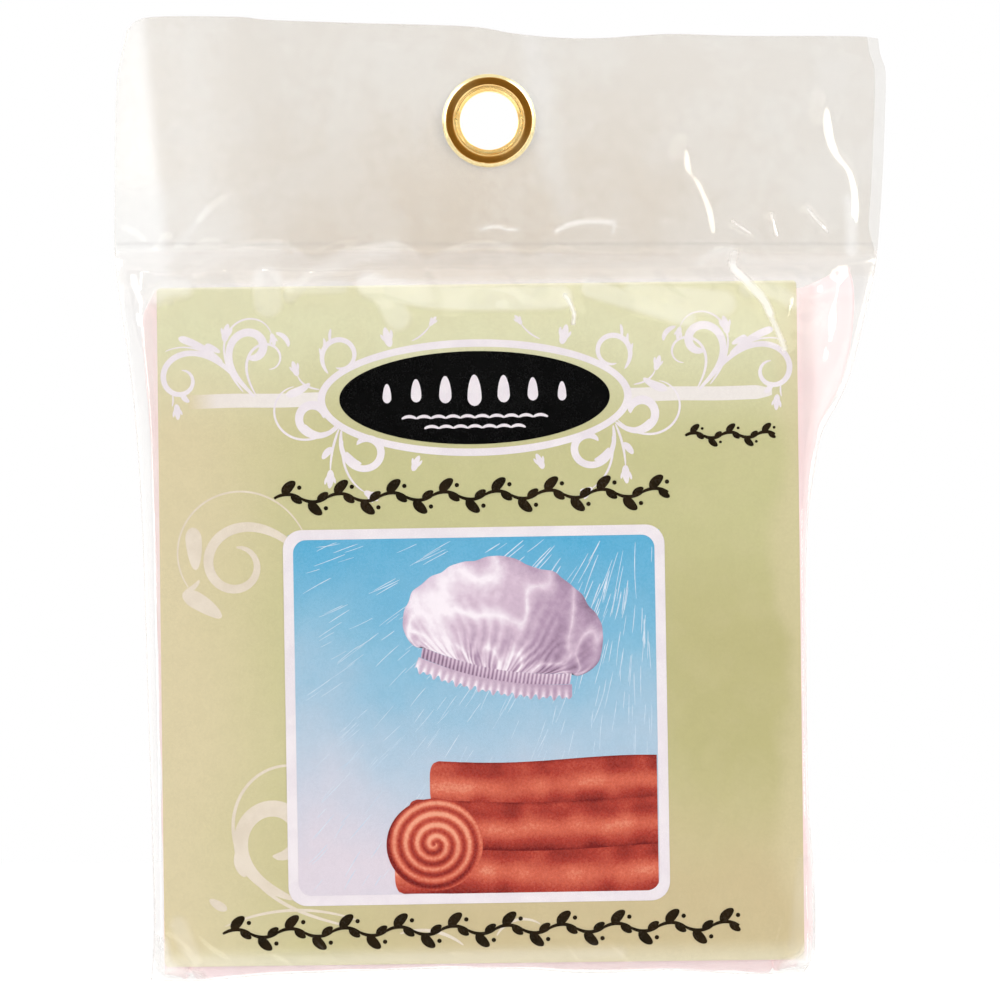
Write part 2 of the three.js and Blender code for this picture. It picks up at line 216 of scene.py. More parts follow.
def point_normals(points: Array, quads: Array) -> Array:
    """Averages the directions that the faces round each point look in.

    Args:
        points: the points.
        quads: the faces.

    Returns:
        A unit direction for each point.
    """
    corner = points[quads]
    facing = np.cross(corner[:, 2] - corner[:, 0], corner[:, 3] - corner[:, 1])
    total = np.zeros_like(points)
    for turn in range(4):
        np.add.at(total, quads[:, turn], facing)
    return total / np.maximum(np.linalg.norm(total, axis=1, keepdims=True), 1e-12)


def shell(points: Array, quads: Array, thickness: float) -> tuple[Array, Array]:
    """Gives an open surface a thickness, so that it becomes one closed sheet.

    Args:
        points: the surface's points, which stay as the sheet's outer side.
        quads: its faces, looking outwards.
        thickness: how far inwards the sheet's other side lies.

    Returns:
        The sheet's points and faces.
    """
    used, quads = np.unique(quads, return_inverse=True)
    quads = quads.reshape(-1, 4)
    points = points[used]
    count = len(points)
    inner = points - point_normals(points, quads) * thickness
    start = quads.ravel()
    end = np.roll(quads, -1, axis=1).ravel()
    single = ~np.isin(start * count + end, end * count + start)
    start, end = start[single], end[single]
    rim = np.stack([end, start, start + count, end + count], 1)
    return np.vstack([points, inner]), np.vstack([quads, quads[:, ::-1] + count, rim])


def piece(
    name: str, points: Array, faces: Array | list, finish: "Finish", crisp: float = 50.0
) -> Object:
    """Makes a mesh object.

    Args:
        name: the piece's name.
        points: its points in millimetres.
        faces: its faces, in a list where they haven't all four corners.
        finish: what it is finished with.
        crisp: an edge sharper than this many degrees stays sharp.

    Returns:
        The object, in the scene.
    """
    mesh = bpy.data.meshes.new(name)
    corners = faces if isinstance(faces, list) else faces.tolist()
    mesh.from_pydata((points * MM).tolist(), [], corners)
    mesh.polygons.foreach_set("use_smooth", np.ones(len(mesh.polygons), bool))
    mesh.update()
    mesh.set_sharp_from_angle(angle=math.radians(crisp))
    mesh.materials.append(dressed(finish))
    made = bpy.data.objects.new(name, mesh)
    bpy.context.scene.collection.objects.link(made)
    return made


def mark(made: Object, name: str, values: Array) -> None:
    """Keeps a value for each point under a name, by which the finish reads it."""
    layer = made.data.attributes.new(name, "FLOAT", "POINT")
    layer.data.foreach_set("value", values.astype(np.float32))


# Shader trees


class Bench:
    """A node tree, with short ways to add nodes and to join them."""

    def __init__(self, tree: Tree) -> None:
        """Starts on the tree that the nodes go into."""
        self.tree = tree

    def add(self, kind: str, inputs: dict[str | int, Any] | None = None, **settings: Any) -> Node:
        """Adds a node.

        Args:
            kind: the node's type.
            inputs: a value or a socket for each input that isn't left as it is.
            **settings: the node's own settings.

        Returns:
            The node.
        """
        node = self.tree.nodes.new(kind)
        for name, value in settings.items():
            setattr(node, name, value)
        for name, value in (inputs or {}).items():
            if isinstance(value, Socket):
                self.tree.links.new(value, node.inputs[name])
            else:
                node.inputs[name].default_value = value
        return node

    def maths(self, operation: str, first: Any, second: Any = 0.0, clamp: bool = False) -> Socket:
        """Adds a Math node, whose result may be clamped to 0 and 1, and gives its result."""
        settings = {"operation": operation, "use_clamp": clamp}
        return self.add("ShaderNodeMath", {0: first, 1: second}, **settings).outputs[0]

    def spread(
        self, value: Any, low: float, high: float, to_low: float = 0.0, to_high: float = 1.0
    ) -> Socket:
        """Maps one range of values smoothly to another, from 0 to 1 if not told, and clips it."""
        inputs = {0: value, 1: low, 2: high, 3: to_low, 4: to_high}
        return self.add("ShaderNodeMapRange", inputs, interpolation_type="SMOOTHSTEP").outputs[0]

    def blend(self, share: Any, first: Any, second: Any, way: str = "MIX") -> Socket:
        """Mixes two colours; share says how much of the second there is, and way how they mix."""
        inputs = {0: share, 6: first, 7: second}
        return self.add("ShaderNodeMix", inputs, data_type="RGBA", blend_type=way).outputs[2]

    def ramp(self, value: Any, stops: Sequence[tuple[float, Colour]]) -> Socket:
        """Adds a colour ramp.

        Args:
            value: the place on the ramp.
            stops: places and their colours.

        Returns:
            The colour.
        """
        node = self.add("ShaderNodeValToRGB", {0: value})
        elements = node.color_ramp.elements
        while len(elements) < len(stops):
            elements.new(0.5)
        for element, (place, colour) in zip(elements, stops):
            element.position = place
            element.color = colour
        return node.outputs[0]

    def noise(self, where: Any, size: float, detail: float = 3.0, rough: float = 0.5) -> Socket:
        """Adds a noise texture with blotches about so many millimetres wide; its middle is 0.5."""
        inputs = {"Vector": where, "Scale": 1 / (size * MM), "Detail": detail, "Roughness": rough}
        return self.add("ShaderNodeTexNoise", inputs).outputs[0]

    def place(self) -> Socket:
        """Gives the place on the object, which is in metres in the shared frame."""
        return self.add("ShaderNodeTexCoord").outputs["Object"]

    def marked(self, name: str) -> Socket:
        """Reads a value that mark() kept for each point."""
        node = self.add("ShaderNodeAttribute", attribute_name=name, attribute_type="GEOMETRY")
        return node.outputs["Fac"]

    def group(self, tree: Tree, inputs: dict[str, Any]) -> Node:
        """Places a node group, with a value or a socket for each of its inputs."""
        return self.add("ShaderNodeGroup", inputs, node_tree=tree)

    def shader(self, inputs: dict[str, Any]) -> Node:
        """Adds the shader that a finish ends in, with its inputs."""
        return self.add("ShaderNodeBsdfPrincipled", inputs)

    def relief(self, height: Any, depth: float, strength: float = 1.0) -> Socket:
        """Adds a bump, as deep in millimetres as said at a height of 1, and gives the normal."""
        inputs = {"Height": height, "Distance": depth * MM, "Strength": strength}
        return self.add("ShaderNodeBump", inputs).outputs[0]


def new_group(
    name: str, inputs: dict[str, float | Colour], outputs: Sequence[str]
) -> tuple[Bench, Node, Node]:
    """Starts a shader group with named sockets.

    Args:
        name: the group's name.
        inputs: names with the values that they start from; a tuple makes a colour socket.
        outputs: names; one that ends in Color makes a colour socket.

    Returns:
        A bench on the group, its input node and its output node.
    """
    tree = bpy.data.node_groups.new(name, "ShaderNodeTree")
    tree.interface.new_socket("Vector", in_out="INPUT", socket_type="NodeSocketVector")
    for label, value in inputs.items():
        kind = "NodeSocketColor" if isinstance(value, tuple) else "NodeSocketFloat"
        tree.interface.new_socket(label, in_out="INPUT", socket_type=kind).default_value = value
    for label in outputs:
        kind = "NodeSocketColor" if label.endswith("Color") else "NodeSocketFloat"
        tree.interface.new_socket(label, in_out="OUTPUT", socket_type=kind)
    bench = Bench(tree)
    return bench, bench.add("NodeGroupInput"), bench.add("NodeGroupOutput")


@functools.cache
def grain_group() -> Tree:
    """Builds the fine grain that paper, ink and vinyl share.

    Returns:
        A group from Vector and Size to Height and Mask.
    """
    bench, given, result = new_group("Fine grain", {"Size": 0.3}, ["Height", "Mask"])
    scale = bench.maths("DIVIDE", 1 / MM, given.outputs["Size"])
    fine = bench.add(
        "ShaderNodeTexNoise", {"Vector": given.outputs["Vector"], "Scale": scale, "Detail": 4.0}
    )
    wide = bench.maths("DIVIDE", scale, 9.0)
    coarse = bench.add(
        "ShaderNodeTexNoise", {"Vector": given.outputs["Vector"], "Scale": wide, "Detail": 2.0}
    )
    both = bench.maths("MULTIPLY", fine.outputs[0], bench.maths("ADD", coarse.outputs[0], 0.5))
    bench.tree.links.new(both, result.inputs["Height"])
    bench.tree.links.new(bench.spread(both, 0.3, 0.7), result.inputs["Mask"])
    return bench.tree


@functools.cache
def mottle_group() -> Tree:
    """Builds the slow drift between two colours that print, vinyl and metal share.

    Returns:
        A group from Vector, Size, First Color and Second Color to Color and Mask.
    """
    colours = {"First Color": (0.8, 0.8, 0.8, 1.0), "Second Color": (0.7, 0.7, 0.7, 1.0)}
    start = {"Size": 12.0, **colours}
    bench, given, result = new_group("Mottle", start, ["Color", "Mask"])
    scale = bench.maths("DIVIDE", 1 / MM, given.outputs["Size"])
    drift = bench.add(
        "ShaderNodeTexNoise",
        {"Vector": given.outputs["Vector"], "Scale": scale, "Detail": 5.0, "Roughness": 0.6},
    )
    mask = bench.spread(drift.outputs[0], 0.35, 0.65)
    mixed = bench.blend(mask, given.outputs["First Color"], given.outputs["Second Color"])
    bench.tree.links.new(mixed, result.inputs["Color"])
    bench.tree.links.new(mask, result.inputs["Mask"])
    return bench.tree


@functools.cache
def scuff_group() -> Tree:
    """Builds the fine scratches that handling leaves on film and metal.

    Returns:
        A group from Vector and Size to Mask.
    """
    bench, given, result = new_group("Scuffs", {"Size": 6.0}, ["Mask"])
    scale = bench.maths("DIVIDE", 1 / MM, given.outputs["Size"])
    bend = bench.add("ShaderNodeTexNoise", {"Vector": given.outputs["Vector"], "Scale": scale})
    sway = {0: bend.outputs[1], "Scale": 6 * MM}
    shift = bench.add("ShaderNodeVectorMath", sway, operation="SCALE")
    moved = bench.add("ShaderNodeVectorMath", {0: given.outputs["Vector"], 1: shift.outputs[0]})
    long = {"Vector": moved.outputs[0], "Scale": (1.0, 1.0, 0.06)}
    stretch = bench.add("ShaderNodeMapping", long)
    fine = bench.maths("MULTIPLY", scale, 14.0)
    lines = bench.add(
        "ShaderNodeTexNoise", {"Vector": stretch.outputs[0], "Scale": fine, "Detail": 2.0}
    )
    bench.tree.links.new(bench.spread(lines.outputs[0], 0.66, 0.74), result.inputs["Mask"])
    return bench.tree


# Finishes


@dataclass(frozen=True)
class Finish:
    """What a surface is finished with. Each kind below fills in its own tree."""

    label: str

    def build(self, bench: Bench) -> Node:
        """Adds the finish's nodes to a material's bench, and gives its shader."""
        raise NotImplementedError


@functools.cache
def dressed(finish: Finish) -> bpy.types.Material:
    """Makes the material of a finish, once.

    Args:
        finish: the finish.

    Returns:
        Its material.
    """
    material = bpy.data.materials.new(finish.label)
    material.use_nodes = True
    material.node_tree.nodes.clear()
    bench = Bench(material.node_tree)
    surface = finish.build(bench)
    bench.add("ShaderNodeOutputMaterial", {"Surface": surface.outputs[0]})
    return material


@dataclass(frozen=True)
class ClearFilm(Finish):
    """Clear soft vinyl: milky where two sheets lie together, with a bright gloss on each fold. Its
    marked milk and whiteness also paint highlights and reflections into it.
    """

    milk: Colour = paint(199, 183, 158)
    highlight_white: Colour = paint(248, 245, 241)
    gloss: Colour = paint(255, 254, 251)
    mirror: float = 0.029
    cloud: float = 0.1
    roughness: float = 0.075
    shade: float = 0.1

    def build(self, bench: Bench) -> Node:
        """Adds the film's nodes; it lets light through to what is under it.

        Args:
            bench: the material's bench.

        Returns:
            The film's shader.
        """
        place = bench.place()
        scuffs = bench.group(scuff_group(), {"Vector": place, "Size": 7.0})
        drift = bench.group(mottle_group(), {"Vector": place, "Size": 16.0})
        milk = bench.maths("MULTIPLY", bench.marked("milk"), self.cloud)
        milk = bench.maths("MULTIPLY", milk, bench.spread(drift.outputs["Mask"], 0, 1, 0.9, 1.1))
        edge_on = bench.add("ShaderNodeLayerWeight", {"Blend": 0.5}).outputs["Facing"]
        steep = bench.maths("MULTIPLY", bench.maths("POWER", edge_on, 5.0), 0.28)
        mirror = bench.maths("ADD", steep, self.mirror)
        alpha = bench.maths("ADD", milk, mirror, clamp=True)
        metal = bench.maths("DIVIDE", mirror, alpha, clamp=True)
        shadow = bench.add("ShaderNodeLightPath").outputs["Is Shadow Ray"]
        alpha = bench.maths("MULTIPLY", alpha, bench.spread(shadow, 0, 1, 1.0, self.shade))
        rough = bench.spread(scuffs.outputs["Mask"], 0, 1, self.roughness, self.roughness * 2.2)
        # Painted highlight: the marked whiteness turns the milk from tan to white.
        cloudy = bench.blend(bench.marked("highlight_white"), self.milk, self.highlight_white)
        return bench.shader({
            "Base Color": bench.blend(metal, cloudy, self.gloss),
            "Metallic": metal,
            "Roughness": rough,
            "Alpha": alpha,
            "Normal": bench.relief(bench.noise(place, 1.7, 2.0), 0.02, 0.22),
        })


@dataclass(frozen=True)
class FusedVinyl(Finish):
    """Vinyl that has been welded: cloudy, with the tool's fine ribs pressed in."""

    colour: Colour = paint(238, 232, 224)
    rib: float = 0.9
    alpha: float = 0.14

    def build(self, bench: Bench) -> Node:
        """Adds the weld's nodes, its ribs pressed in.

        Args:
            bench: the material's bench.

        Returns:
            The weld's shader.
        """
        place = bench.place()
        colours = {"First Color": self.colour, "Second Color": paint(250, 246, 240)}
        drift = bench.group(mottle_group(), {"Vector": place, "Size": 5.0, **colours})
        ribs = bench.add(
            "ShaderNodeTexWave",
            {"Vector": place, "Scale": 0.32 / (self.rib * MM), "Distortion": 0.6, "Detail": 1.0},
            bands_direction="DIAGONAL",
        )
        alpha = bench.spread(drift.outputs["Mask"], 0, 1, self.alpha * 0.75, self.alpha * 1.25)
        return bench.shader({
            "Base Color": drift.outputs["Color"],
            "Roughness": bench.spread(ribs.outputs[0], 0, 1, 0.18, 0.34),
            "Alpha": alpha,
            "Normal": bench.relief(ribs.outputs[0], 0.06, 0.6),
        })


@dataclass(frozen=True)
class PlatedBrass(Finish):
    """Bright stamped brass with a lacquer, pale where highlights are painted and brown where a dark
    reflection is painted on a band of its front.
    """

    bright: Colour = paint(253, 220, 150)
    deep: Colour = paint(248, 204, 122)
    rim: Colour = paint(255, 250, 226)
    highlight_pale: Colour = paint(255, 243, 196)
    dark_reflection: Colour = paint(178, 118, 38)
    roughness: float = 0.2

    def build(self, bench: Bench) -> Node:
        """Adds the brass's nodes, pale with painted highlights and browned with a painted dark
        reflection, as each point is marked.

        Args:
            bench: the material's bench.

        Returns:
            The brass's shader.
        """
        place = bench.place()
        colours = {"First Color": self.bright, "Second Color": self.deep}
        drift = bench.group(mottle_group(), {"Vector": place, "Size": 3.0, **colours})
        scuffs = bench.group(scuff_group(), {"Vector": place, "Size": 2.0})
        grain = bench.group(grain_group(), {"Vector": place, "Size": 0.4})
        rough = bench.spread(scuffs.outputs["Mask"], 0, 1, self.roughness, self.roughness * 1.9)
        painted_light = bench.marked("painted_light")
        # Painted highlights turn the brass pale, and the painted dark reflection turns it brown and
        # less metallic.
        base = bench.blend(bench.spread(painted_light, 0, 1), drift.outputs["Color"], self.highlight_pale)
        base = bench.blend(bench.spread(painted_light, 0, -1), base, self.dark_reflection)
        return bench.shader({
            "Base Color": base,
            "Metallic": bench.spread(painted_light, -0.45, 0, 0.66, 1.0),
            "Specular Tint": self.rim,
            "Roughness": rough,
            "Normal": bench.relief(grain.outputs["Height"], 0.012, 0.5),
        })


@dataclass(frozen=True)
class CardStock(Finish):
    """Varnished board: a green ground that drifts to tan, with bare board at its cut edges, a
    painted highlight along its top edge and a painted reflection along its foot.
    """

    crown: Colour = paint(223, 221, 184)
    green: Colour = paint(201, 197, 147)
    tan: Colour = paint(220, 207, 169)
    deep: Colour = paint(206, 189, 148)
    olive: Colour = paint(191, 184, 132)
    highlight_pale: Colour = paint(245, 242, 220)
    board: Colour = paint(240, 237, 229)
    fibre: Colour = paint(150, 140, 100)

    def build(self, bench: Bench) -> Node:
        """Adds the board's nodes, region by region of its printed ground.

        Args:
            bench: the material's bench.

        Returns:
            The board's shader.
        """
        place = bench.place()
        true_across, _, true_up = bench.add("ShaderNodeSeparateXYZ", {0: place}).outputs
        wander = bench.maths("SUBTRACT", bench.noise(place, 24.0, 3.0), 0.5)
        wander = bench.maths("MULTIPLY", wander, 14 * MM)
        across = bench.maths("ADD", true_across, wander)
        up = bench.maths("ADD", true_up, wander)
        ground = bench.blend(bench.spread(across, -58 * MM, -24 * MM), self.tan, self.green)
        right = bench.spread(across, -10 * MM, 44 * MM)
        under_top, over_foot = (-64 * MM, -96 * MM), (-136 * MM, -112 * MM)
        middle = bench.maths("MULTIPLY", bench.spread(up, *under_top), bench.spread(up, *over_foot))
        ground = bench.blend(bench.maths("MULTIPLY", right, middle), ground, self.olive)
        low = bench.spread(up, -112 * MM, -138 * MM)
        low = bench.maths("MULTIPLY", low, bench.spread(across, -50 * MM, 0))
        ground = bench.blend(low, ground, self.deep)
        ground = bench.blend(bench.spread(up, -60 * MM, -36 * MM), ground, self.crown)
        edge = bench.maths("MULTIPLY", bench.spread(across, 50 * MM, 54 * MM), 0.5)
        ground = bench.blend(edge, ground, self.tan)
        level = bench.maths("SUBTRACT", true_up, bench.maths("MULTIPLY", true_across, 0.0122))
        # Painted highlight: a thin pale line along the card's top edge, where light falls on it.
        lit_edge = bench.maths("MULTIPLY", bench.spread(level, -29.95 * MM, -29.5 * MM), 0.75)
        ground = bench.blend(lit_edge, ground, self.highlight_pale)
        # Painted reflection: a pale band along the card's foot, where the film over it faces the
        # floor.
        foot = bench.maths("MULTIPLY", bench.spread(level, -146.0 * MM, -150.4 * MM), 0.45)
        ground = bench.blend(foot, ground, self.highlight_pale)
        patches = bench.spread(bench.noise(place, 7.0, 4.0, 0.6), 0.4, 0.7, 0.0, 0.12)
        ground = bench.blend(patches, ground, self.tan)
        grain = bench.group(grain_group(), {"Vector": place, "Size": 0.35})
        fibres = bench.maths("MULTIPLY", grain.outputs["Mask"], 0.09)
        ground = bench.blend(fibres, ground, self.fibre)
        normal = bench.add("ShaderNodeNewGeometry").outputs["Normal"]
        looking = bench.add("ShaderNodeSeparateXYZ", {0: normal})
        printed = bench.spread(looking.outputs[1], -0.9, -0.5, 1.0, 0.0)
        return bench.shader({
            "Base Color": bench.blend(printed, self.board, ground),
            "Roughness": bench.spread(grain.outputs["Mask"], 0, 1, 0.28, 0.38),
            "Specular IOR Level": 0.35,
            "Normal": bench.relief(grain.outputs["Height"], 0.015, 0.5),
        })


@dataclass(frozen=True)
class PrintInk(Finish):
    """A flat printed colour with the slight unevenness of offset ink."""

    colour: Colour = (0.8, 0.8, 0.8, 1.0)
    second: Colour = (0.75, 0.75, 0.75, 1.0)
    blotch: float = 5.0

    def build(self, bench: Bench) -> Node:
        """Adds the ink's nodes.

        Args:
            bench: the material's bench.

        Returns:
            The ink's shader.
        """
        place = bench.place()
        colours = {"First Color": self.colour, "Second Color": self.second}
        drift = bench.group(mottle_group(), {"Vector": place, "Size": self.blotch, **colours})
        grain = bench.group(grain_group(), {"Vector": place, "Size": 0.3})
        return bench.shader({
            "Base Color": drift.outputs["Color"],
            "Roughness": bench.spread(grain.outputs["Mask"], 0, 1, 0.22, 0.28),
            "Specular IOR Level": 0.25,
            "Normal": bench.relief(grain.outputs["Height"], 0.01, 0.3),
        })


@dataclass(frozen=True)
class ShadedInk(Finish):
    """A printed picture's tones: each point's tone picks a colour on a ramp."""

    stops: tuple[tuple[float, Colour], ...] = ()
    fleck: float = 0.0
    size: float = 0.8

    def build(self, bench: Bench) -> Node:
        """Adds the picture's nodes.

        Args:
            bench: the material's bench.

        Returns:
            The picture's shader.
        """
        place = bench.place()
        wobble = bench.maths("SUBTRACT", bench.noise(place, self.size, 4.0, 0.6), 0.5)
        tone = bench.maths("ADD", bench.marked("tone"), bench.maths("MULTIPLY", wobble, self.fleck))
        grain = bench.group(grain_group(), {"Vector": place, "Size": 0.3})
        return bench.shader({
            "Base Color": bench.ramp(tone, self.stops),
            "Roughness": bench.spread(grain.outputs["Mask"], 0, 1, 0.24, 0.32),
            "Specular IOR Level": 0.3,
            "Normal": bench.relief(grain.outputs["Height"], 0.01, 0.3),
        })


@dataclass(frozen=True)
class CapVinyl(Finish):
    """Thin pale pink vinyl: satin, pinker in its folds than on its crests by painted shade, with a
    painted glow.
    """

    crest: Colour = paint(245, 233, 230)
    # The fold colour is painted shade.
    fold: Colour = paint(243, 217, 222)
    painted_glow: float = 0.21

    def build(self, bench: Bench) -> Node:
        """Adds the vinyl's nodes, with a painted glow that stands in for the light that comes
        through it.

        Args:
            bench: the material's bench.

        Returns:
            The vinyl's shader.
        """
        place = bench.place()
        colours = {"First Color": self.crest, "Second Color": paint(243, 226, 224)}
        drift = bench.group(mottle_group(), {"Vector": place, "Size": 14.0, **colours})
        # Painted shade: the marked fold share pinkens the vinyl where it lies in shade.
        base = bench.blend(bench.marked("fold"), drift.outputs["Color"], self.fold)
        grain = bench.group(grain_group(), {"Vector": place, "Size": 0.5})
        return bench.shader({
            "Base Color": base,
            "Roughness": bench.spread(grain.outputs["Mask"], 0, 1, 0.32, 0.46),
            "Specular IOR Level": 0.3,
            "Subsurface Weight": 0.12,
            "Subsurface Radius": (0.004, 0.002, 0.002),
            "Subsurface Scale": 0.4,
            # Painted glow: the vinyl gives off a little light of its own colour.
            "Emission Color": base,
            "Emission Strength": self.painted_glow,
            "Normal": bench.relief(grain.outputs["Height"], 0.03, 0.5),
        })


@dataclass(frozen=True)
class ElasticCord(Finish):
    """White covered elastic, with the slant of its wrapped yarn."""

    colour: Colour = paint(245, 242, 236)
    shade: Colour = paint(222, 216, 206)

    def build(self, bench: Bench) -> Node:
        """Adds the elastic's nodes, with its slanting yarn.

        Args:
            bench: the material's bench.

        Returns:
            The elastic's shader.
        """
        place = bench.place()
        yarn = bench.add(
            "ShaderNodeTexWave",
            {"Vector": place, "Scale": 900.0, "Distortion": 1.5, "Detail": 2.0},
            bands_direction="DIAGONAL",
        )
        colours = {"First Color": self.colour, "Second Color": self.shade}
        drift = bench.group(mottle_group(), {"Vector": place, "Size": 2.0, **colours})
        hollow = bench.maths("MULTIPLY", yarn.outputs[0], 0.3)
        return bench.shader({
            "Base Color": bench.blend(hollow, drift.outputs["Color"], self.shade),
            "Roughness": bench.spread(yarn.outputs[0], 0, 1, 0.6, 0.75),
            "Sheen Weight": 0.3,
            "Normal": bench.relief(yarn.outputs[0], 0.05, 0.7),
        })


@dataclass(frozen=True)
class StudioPaper(Finish):
    """A pale sweep, white to the camera but for its shadow, with a dark apron in front."""

    colour: Colour = (0.86, 0.86, 0.86, 1.0)
    apron: Colour = (0.02, 0.02, 0.02, 1.0)

    def build(self, bench: Bench) -> Node:
        """Adds the sweep's nodes, white to the camera and to gloss behind.

        Args:
            bench: the material's bench.

        Returns:
            The sweep's shader.
        """
        place = bench.place()
        grain = bench.group(grain_group(), {"Vector": place, "Size": 1.5})
        tooth = bench.maths("MULTIPLY", grain.outputs["Mask"], 0.06)
        tint = bench.blend(tooth, self.colour, paint(225, 224, 221))
        depth = bench.add("ShaderNodeSeparateXYZ", {0: place}).outputs[1]
        front = bench.spread(depth, -0.2, -0.5)
        tint = bench.blend(front, tint, self.apron)
        ray = bench.add("ShaderNodeLightPath").outputs
        mirrored = bench.maths("MAXIMUM", ray["Is Glossy Ray"], ray["Is Transmission Ray"])
        mirrored = bench.maths("MULTIPLY", mirrored, bench.maths("SUBTRACT", 1.0, front))
        seen = bench.maths("MAXIMUM", ray["Is Camera Ray"], mirrored)
        return bench.shader({
            "Base Color": tint,
            "Roughness": 0.9,
            "Specular IOR Level": 0.1,
            "Emission Color": bench.blend(seen, (0, 0, 0, 1), (1, 1, 1, 1)),
            "Emission Strength": 0.8,
        })


FILM = ClearFilm("clear film")
WELD = FusedVinyl("fused vinyl", colour=paint(250, 247, 241), alpha=0.03)
SEAM = FusedVinyl("side seam", colour=paint(230, 222, 214), rib=1.3, alpha=0.26)
BRASS = PlatedBrass("plated brass")
WASHER_BRASS = PlatedBrass(
    "washer brass", bright=paint(226, 180, 86), deep=paint(180, 128, 52), roughness=0.26
)
BOARD = CardStock("card stock")
VINYL = CapVinyl("cap vinyl")
# The hem's fold colour is a deeper painted shade for the dips of its gathers.
HEM_VINYL = CapVinyl("hem vinyl", fold=paint(240, 203, 209))
ELASTIC = ElasticCord("covered elastic")
WHITE_INK = PrintInk("white ink", colour=paint(240, 232, 235), second=paint(234, 225, 230))
LEAF_INK = PrintInk("pale leaf ink", colour=paint(231, 219, 203), second=paint(224, 211, 193))
DARK_INK = PrintInk("dark ink", colour=paint(30, 22, 8), second=paint(42, 30, 14))
STRIPE_INK = ShadedInk(
    "stripe ink",
    stops=(
        (0.0, paint(219, 206, 170)),
        (0.3, paint(235, 226, 219)),
        (1.0, paint(236, 229, 224)),
    ),
    fleck=0.08,
    size=6.0,
)
BLACK_INK = PrintInk("black ink", colour=paint(3, 3, 3), second=paint(5, 5, 5))
SKY_INK = ShadedInk(
    "sky ink",
    stops=(
        (0.0, paint(92, 174, 211)),
        (0.3, paint(138, 189, 215)),
        (0.64, paint(188, 204, 220)),
        (1.0, paint(222, 212, 221)),
    ),
    fleck=0.22,
    size=9.0,
)
STREAK_INK = PrintInk(
    "water streaks", colour=paint(222, 230, 238), second=paint(190, 212, 230), blotch=2.0
)
CAP_INK = ShadedInk(
    "printed cap",
    stops=(
        (0.0, paint(128, 100, 124)),
        (0.35, paint(180, 152, 176)),
        (0.65, paint(214, 190, 207)),
        (1.0, paint(248, 238, 244)),
    ),
    fleck=0.4,
    size=1.3,
)
TOWEL_INK = ShadedInk(
    "printed towels",
    stops=(
        (0.0, paint(120, 34, 32)),
        (0.35, paint(176, 66, 54)),
        (0.7, paint(214, 108, 84)),
        (1.0, paint(240, 164, 134)),
    ),
    fleck=0.5,
    size=0.45,
)


# The pouch


class Side(Enum):
    """Which of the two sheets a film is; the value is the way it looks along Y."""

    FRONT = -1
    BACK = 1


@dataclass
class Track:
    """How places lie to a line: how far off, how far along and on which side."""

    line: Array
    x: Array
    z: Array
    away: Array = field(init=False)
    side: Array = field(init=False)
    along: Array = field(init=False)

    def __post_init__(self) -> None:
        """Finds the nearest point of the line for each place."""
        self.away = np.full(self.x.shape, np.inf)
        self.side = np.zeros_like(self.x)
        self.along = np.zeros_like(self.x)
        steps = np.linalg.norm(np.diff(self.line, axis=0), axis=1)
        done = 0.0
        for start, end, length in zip(self.line, self.line[1:], steps):
            way = end - start
            ahead = (self.x - start[0]) * way[0] + (self.z - start[1]) * way[1]
            share = np.clip(ahead / length**2, 0, 1)
            off_x = self.x - start[0] - share * way[0]
            off_z = self.z - start[1] - share * way[1]
            away = np.hypot(off_x, off_z)
            closer = away < self.away
            self.side = np.where(closer, way[0] * off_z - way[1] * off_x, self.side)
            self.along = np.where(closer, (done + share * length) / steps.sum(), self.along)
            self.away = np.where(closer, away, self.away)
            done += length


@dataclass(frozen=True)
class Fold:
    """A sharp crinkle in the front film.

    The pixels are its path, read off the photograph. On its left-hand side, seen from the
    front, lies a flat facet that catches a light, and on the other it runs out softly. A held
    one runs straight through the slopes under it.
    """

    pixels: Line
    facet: float = 1.8
    soft: float = 5.0
    slope: float = 0.4
    held: bool = False

    def press(self, across: Array, up: Array, level: Array) -> Array:
        """Folds the film along the path.

        Args:
            across: X of the places.
            up: Z of the places.
            level: how far out the film lies there.

        Returns:
            The level with the fold in it.
        """
        path = curve_through([from_photo(pixel) for pixel in self.pixels], 5)
        reach = self.facet + self.soft
        low, high = path.min(0) - reach, path.max(0) + reach
        near = (across > low[0]) & (across < high[0]) & (up > low[1]) & (up < high[1])
        track = Track(path, across[near], up[near])
        taper = np.clip(np.sin(np.pi * track.along) * (3.4 if self.held else 1.6), 0, 1) ** 0.7
        wide = self.facet * (0.35 + 0.65 * taper)
        shining = track.side > 0
        flank = np.clip(0.5 + np.where(shining, -1, 1) * track.away / wide, 0, 1)
        beyond = np.clip((track.away - wide / 2) / self.soft, 0, 1)
        lift = self.slope * wide * taper * flank * np.where(shining, 1, 1 - ease(beyond))
        steps = np.linalg.norm(np.diff(path, axis=0), axis=1)
        places = np.concatenate([[0], np.cumsum(steps)]) / steps.sum()
        here = []
        for point in path:
            nearest = np.argmin((track.x - point[0]) ** 2 + (track.z - point[1]) ** 2)
            here.append(level[near][nearest])
        if self.held:
            here = np.interp(places, [0.2, 1.0], [np.interp(0.2, places, here), here[-1]])
        under = np.interp(track.along, places, here)
        cover = taper * ease(1 - (track.away - wide / 2) / (0.6 * self.soft))
        folded = level.copy()
        folded[near] = level[near] + cover * (under - level[near]) + lift
        return folded


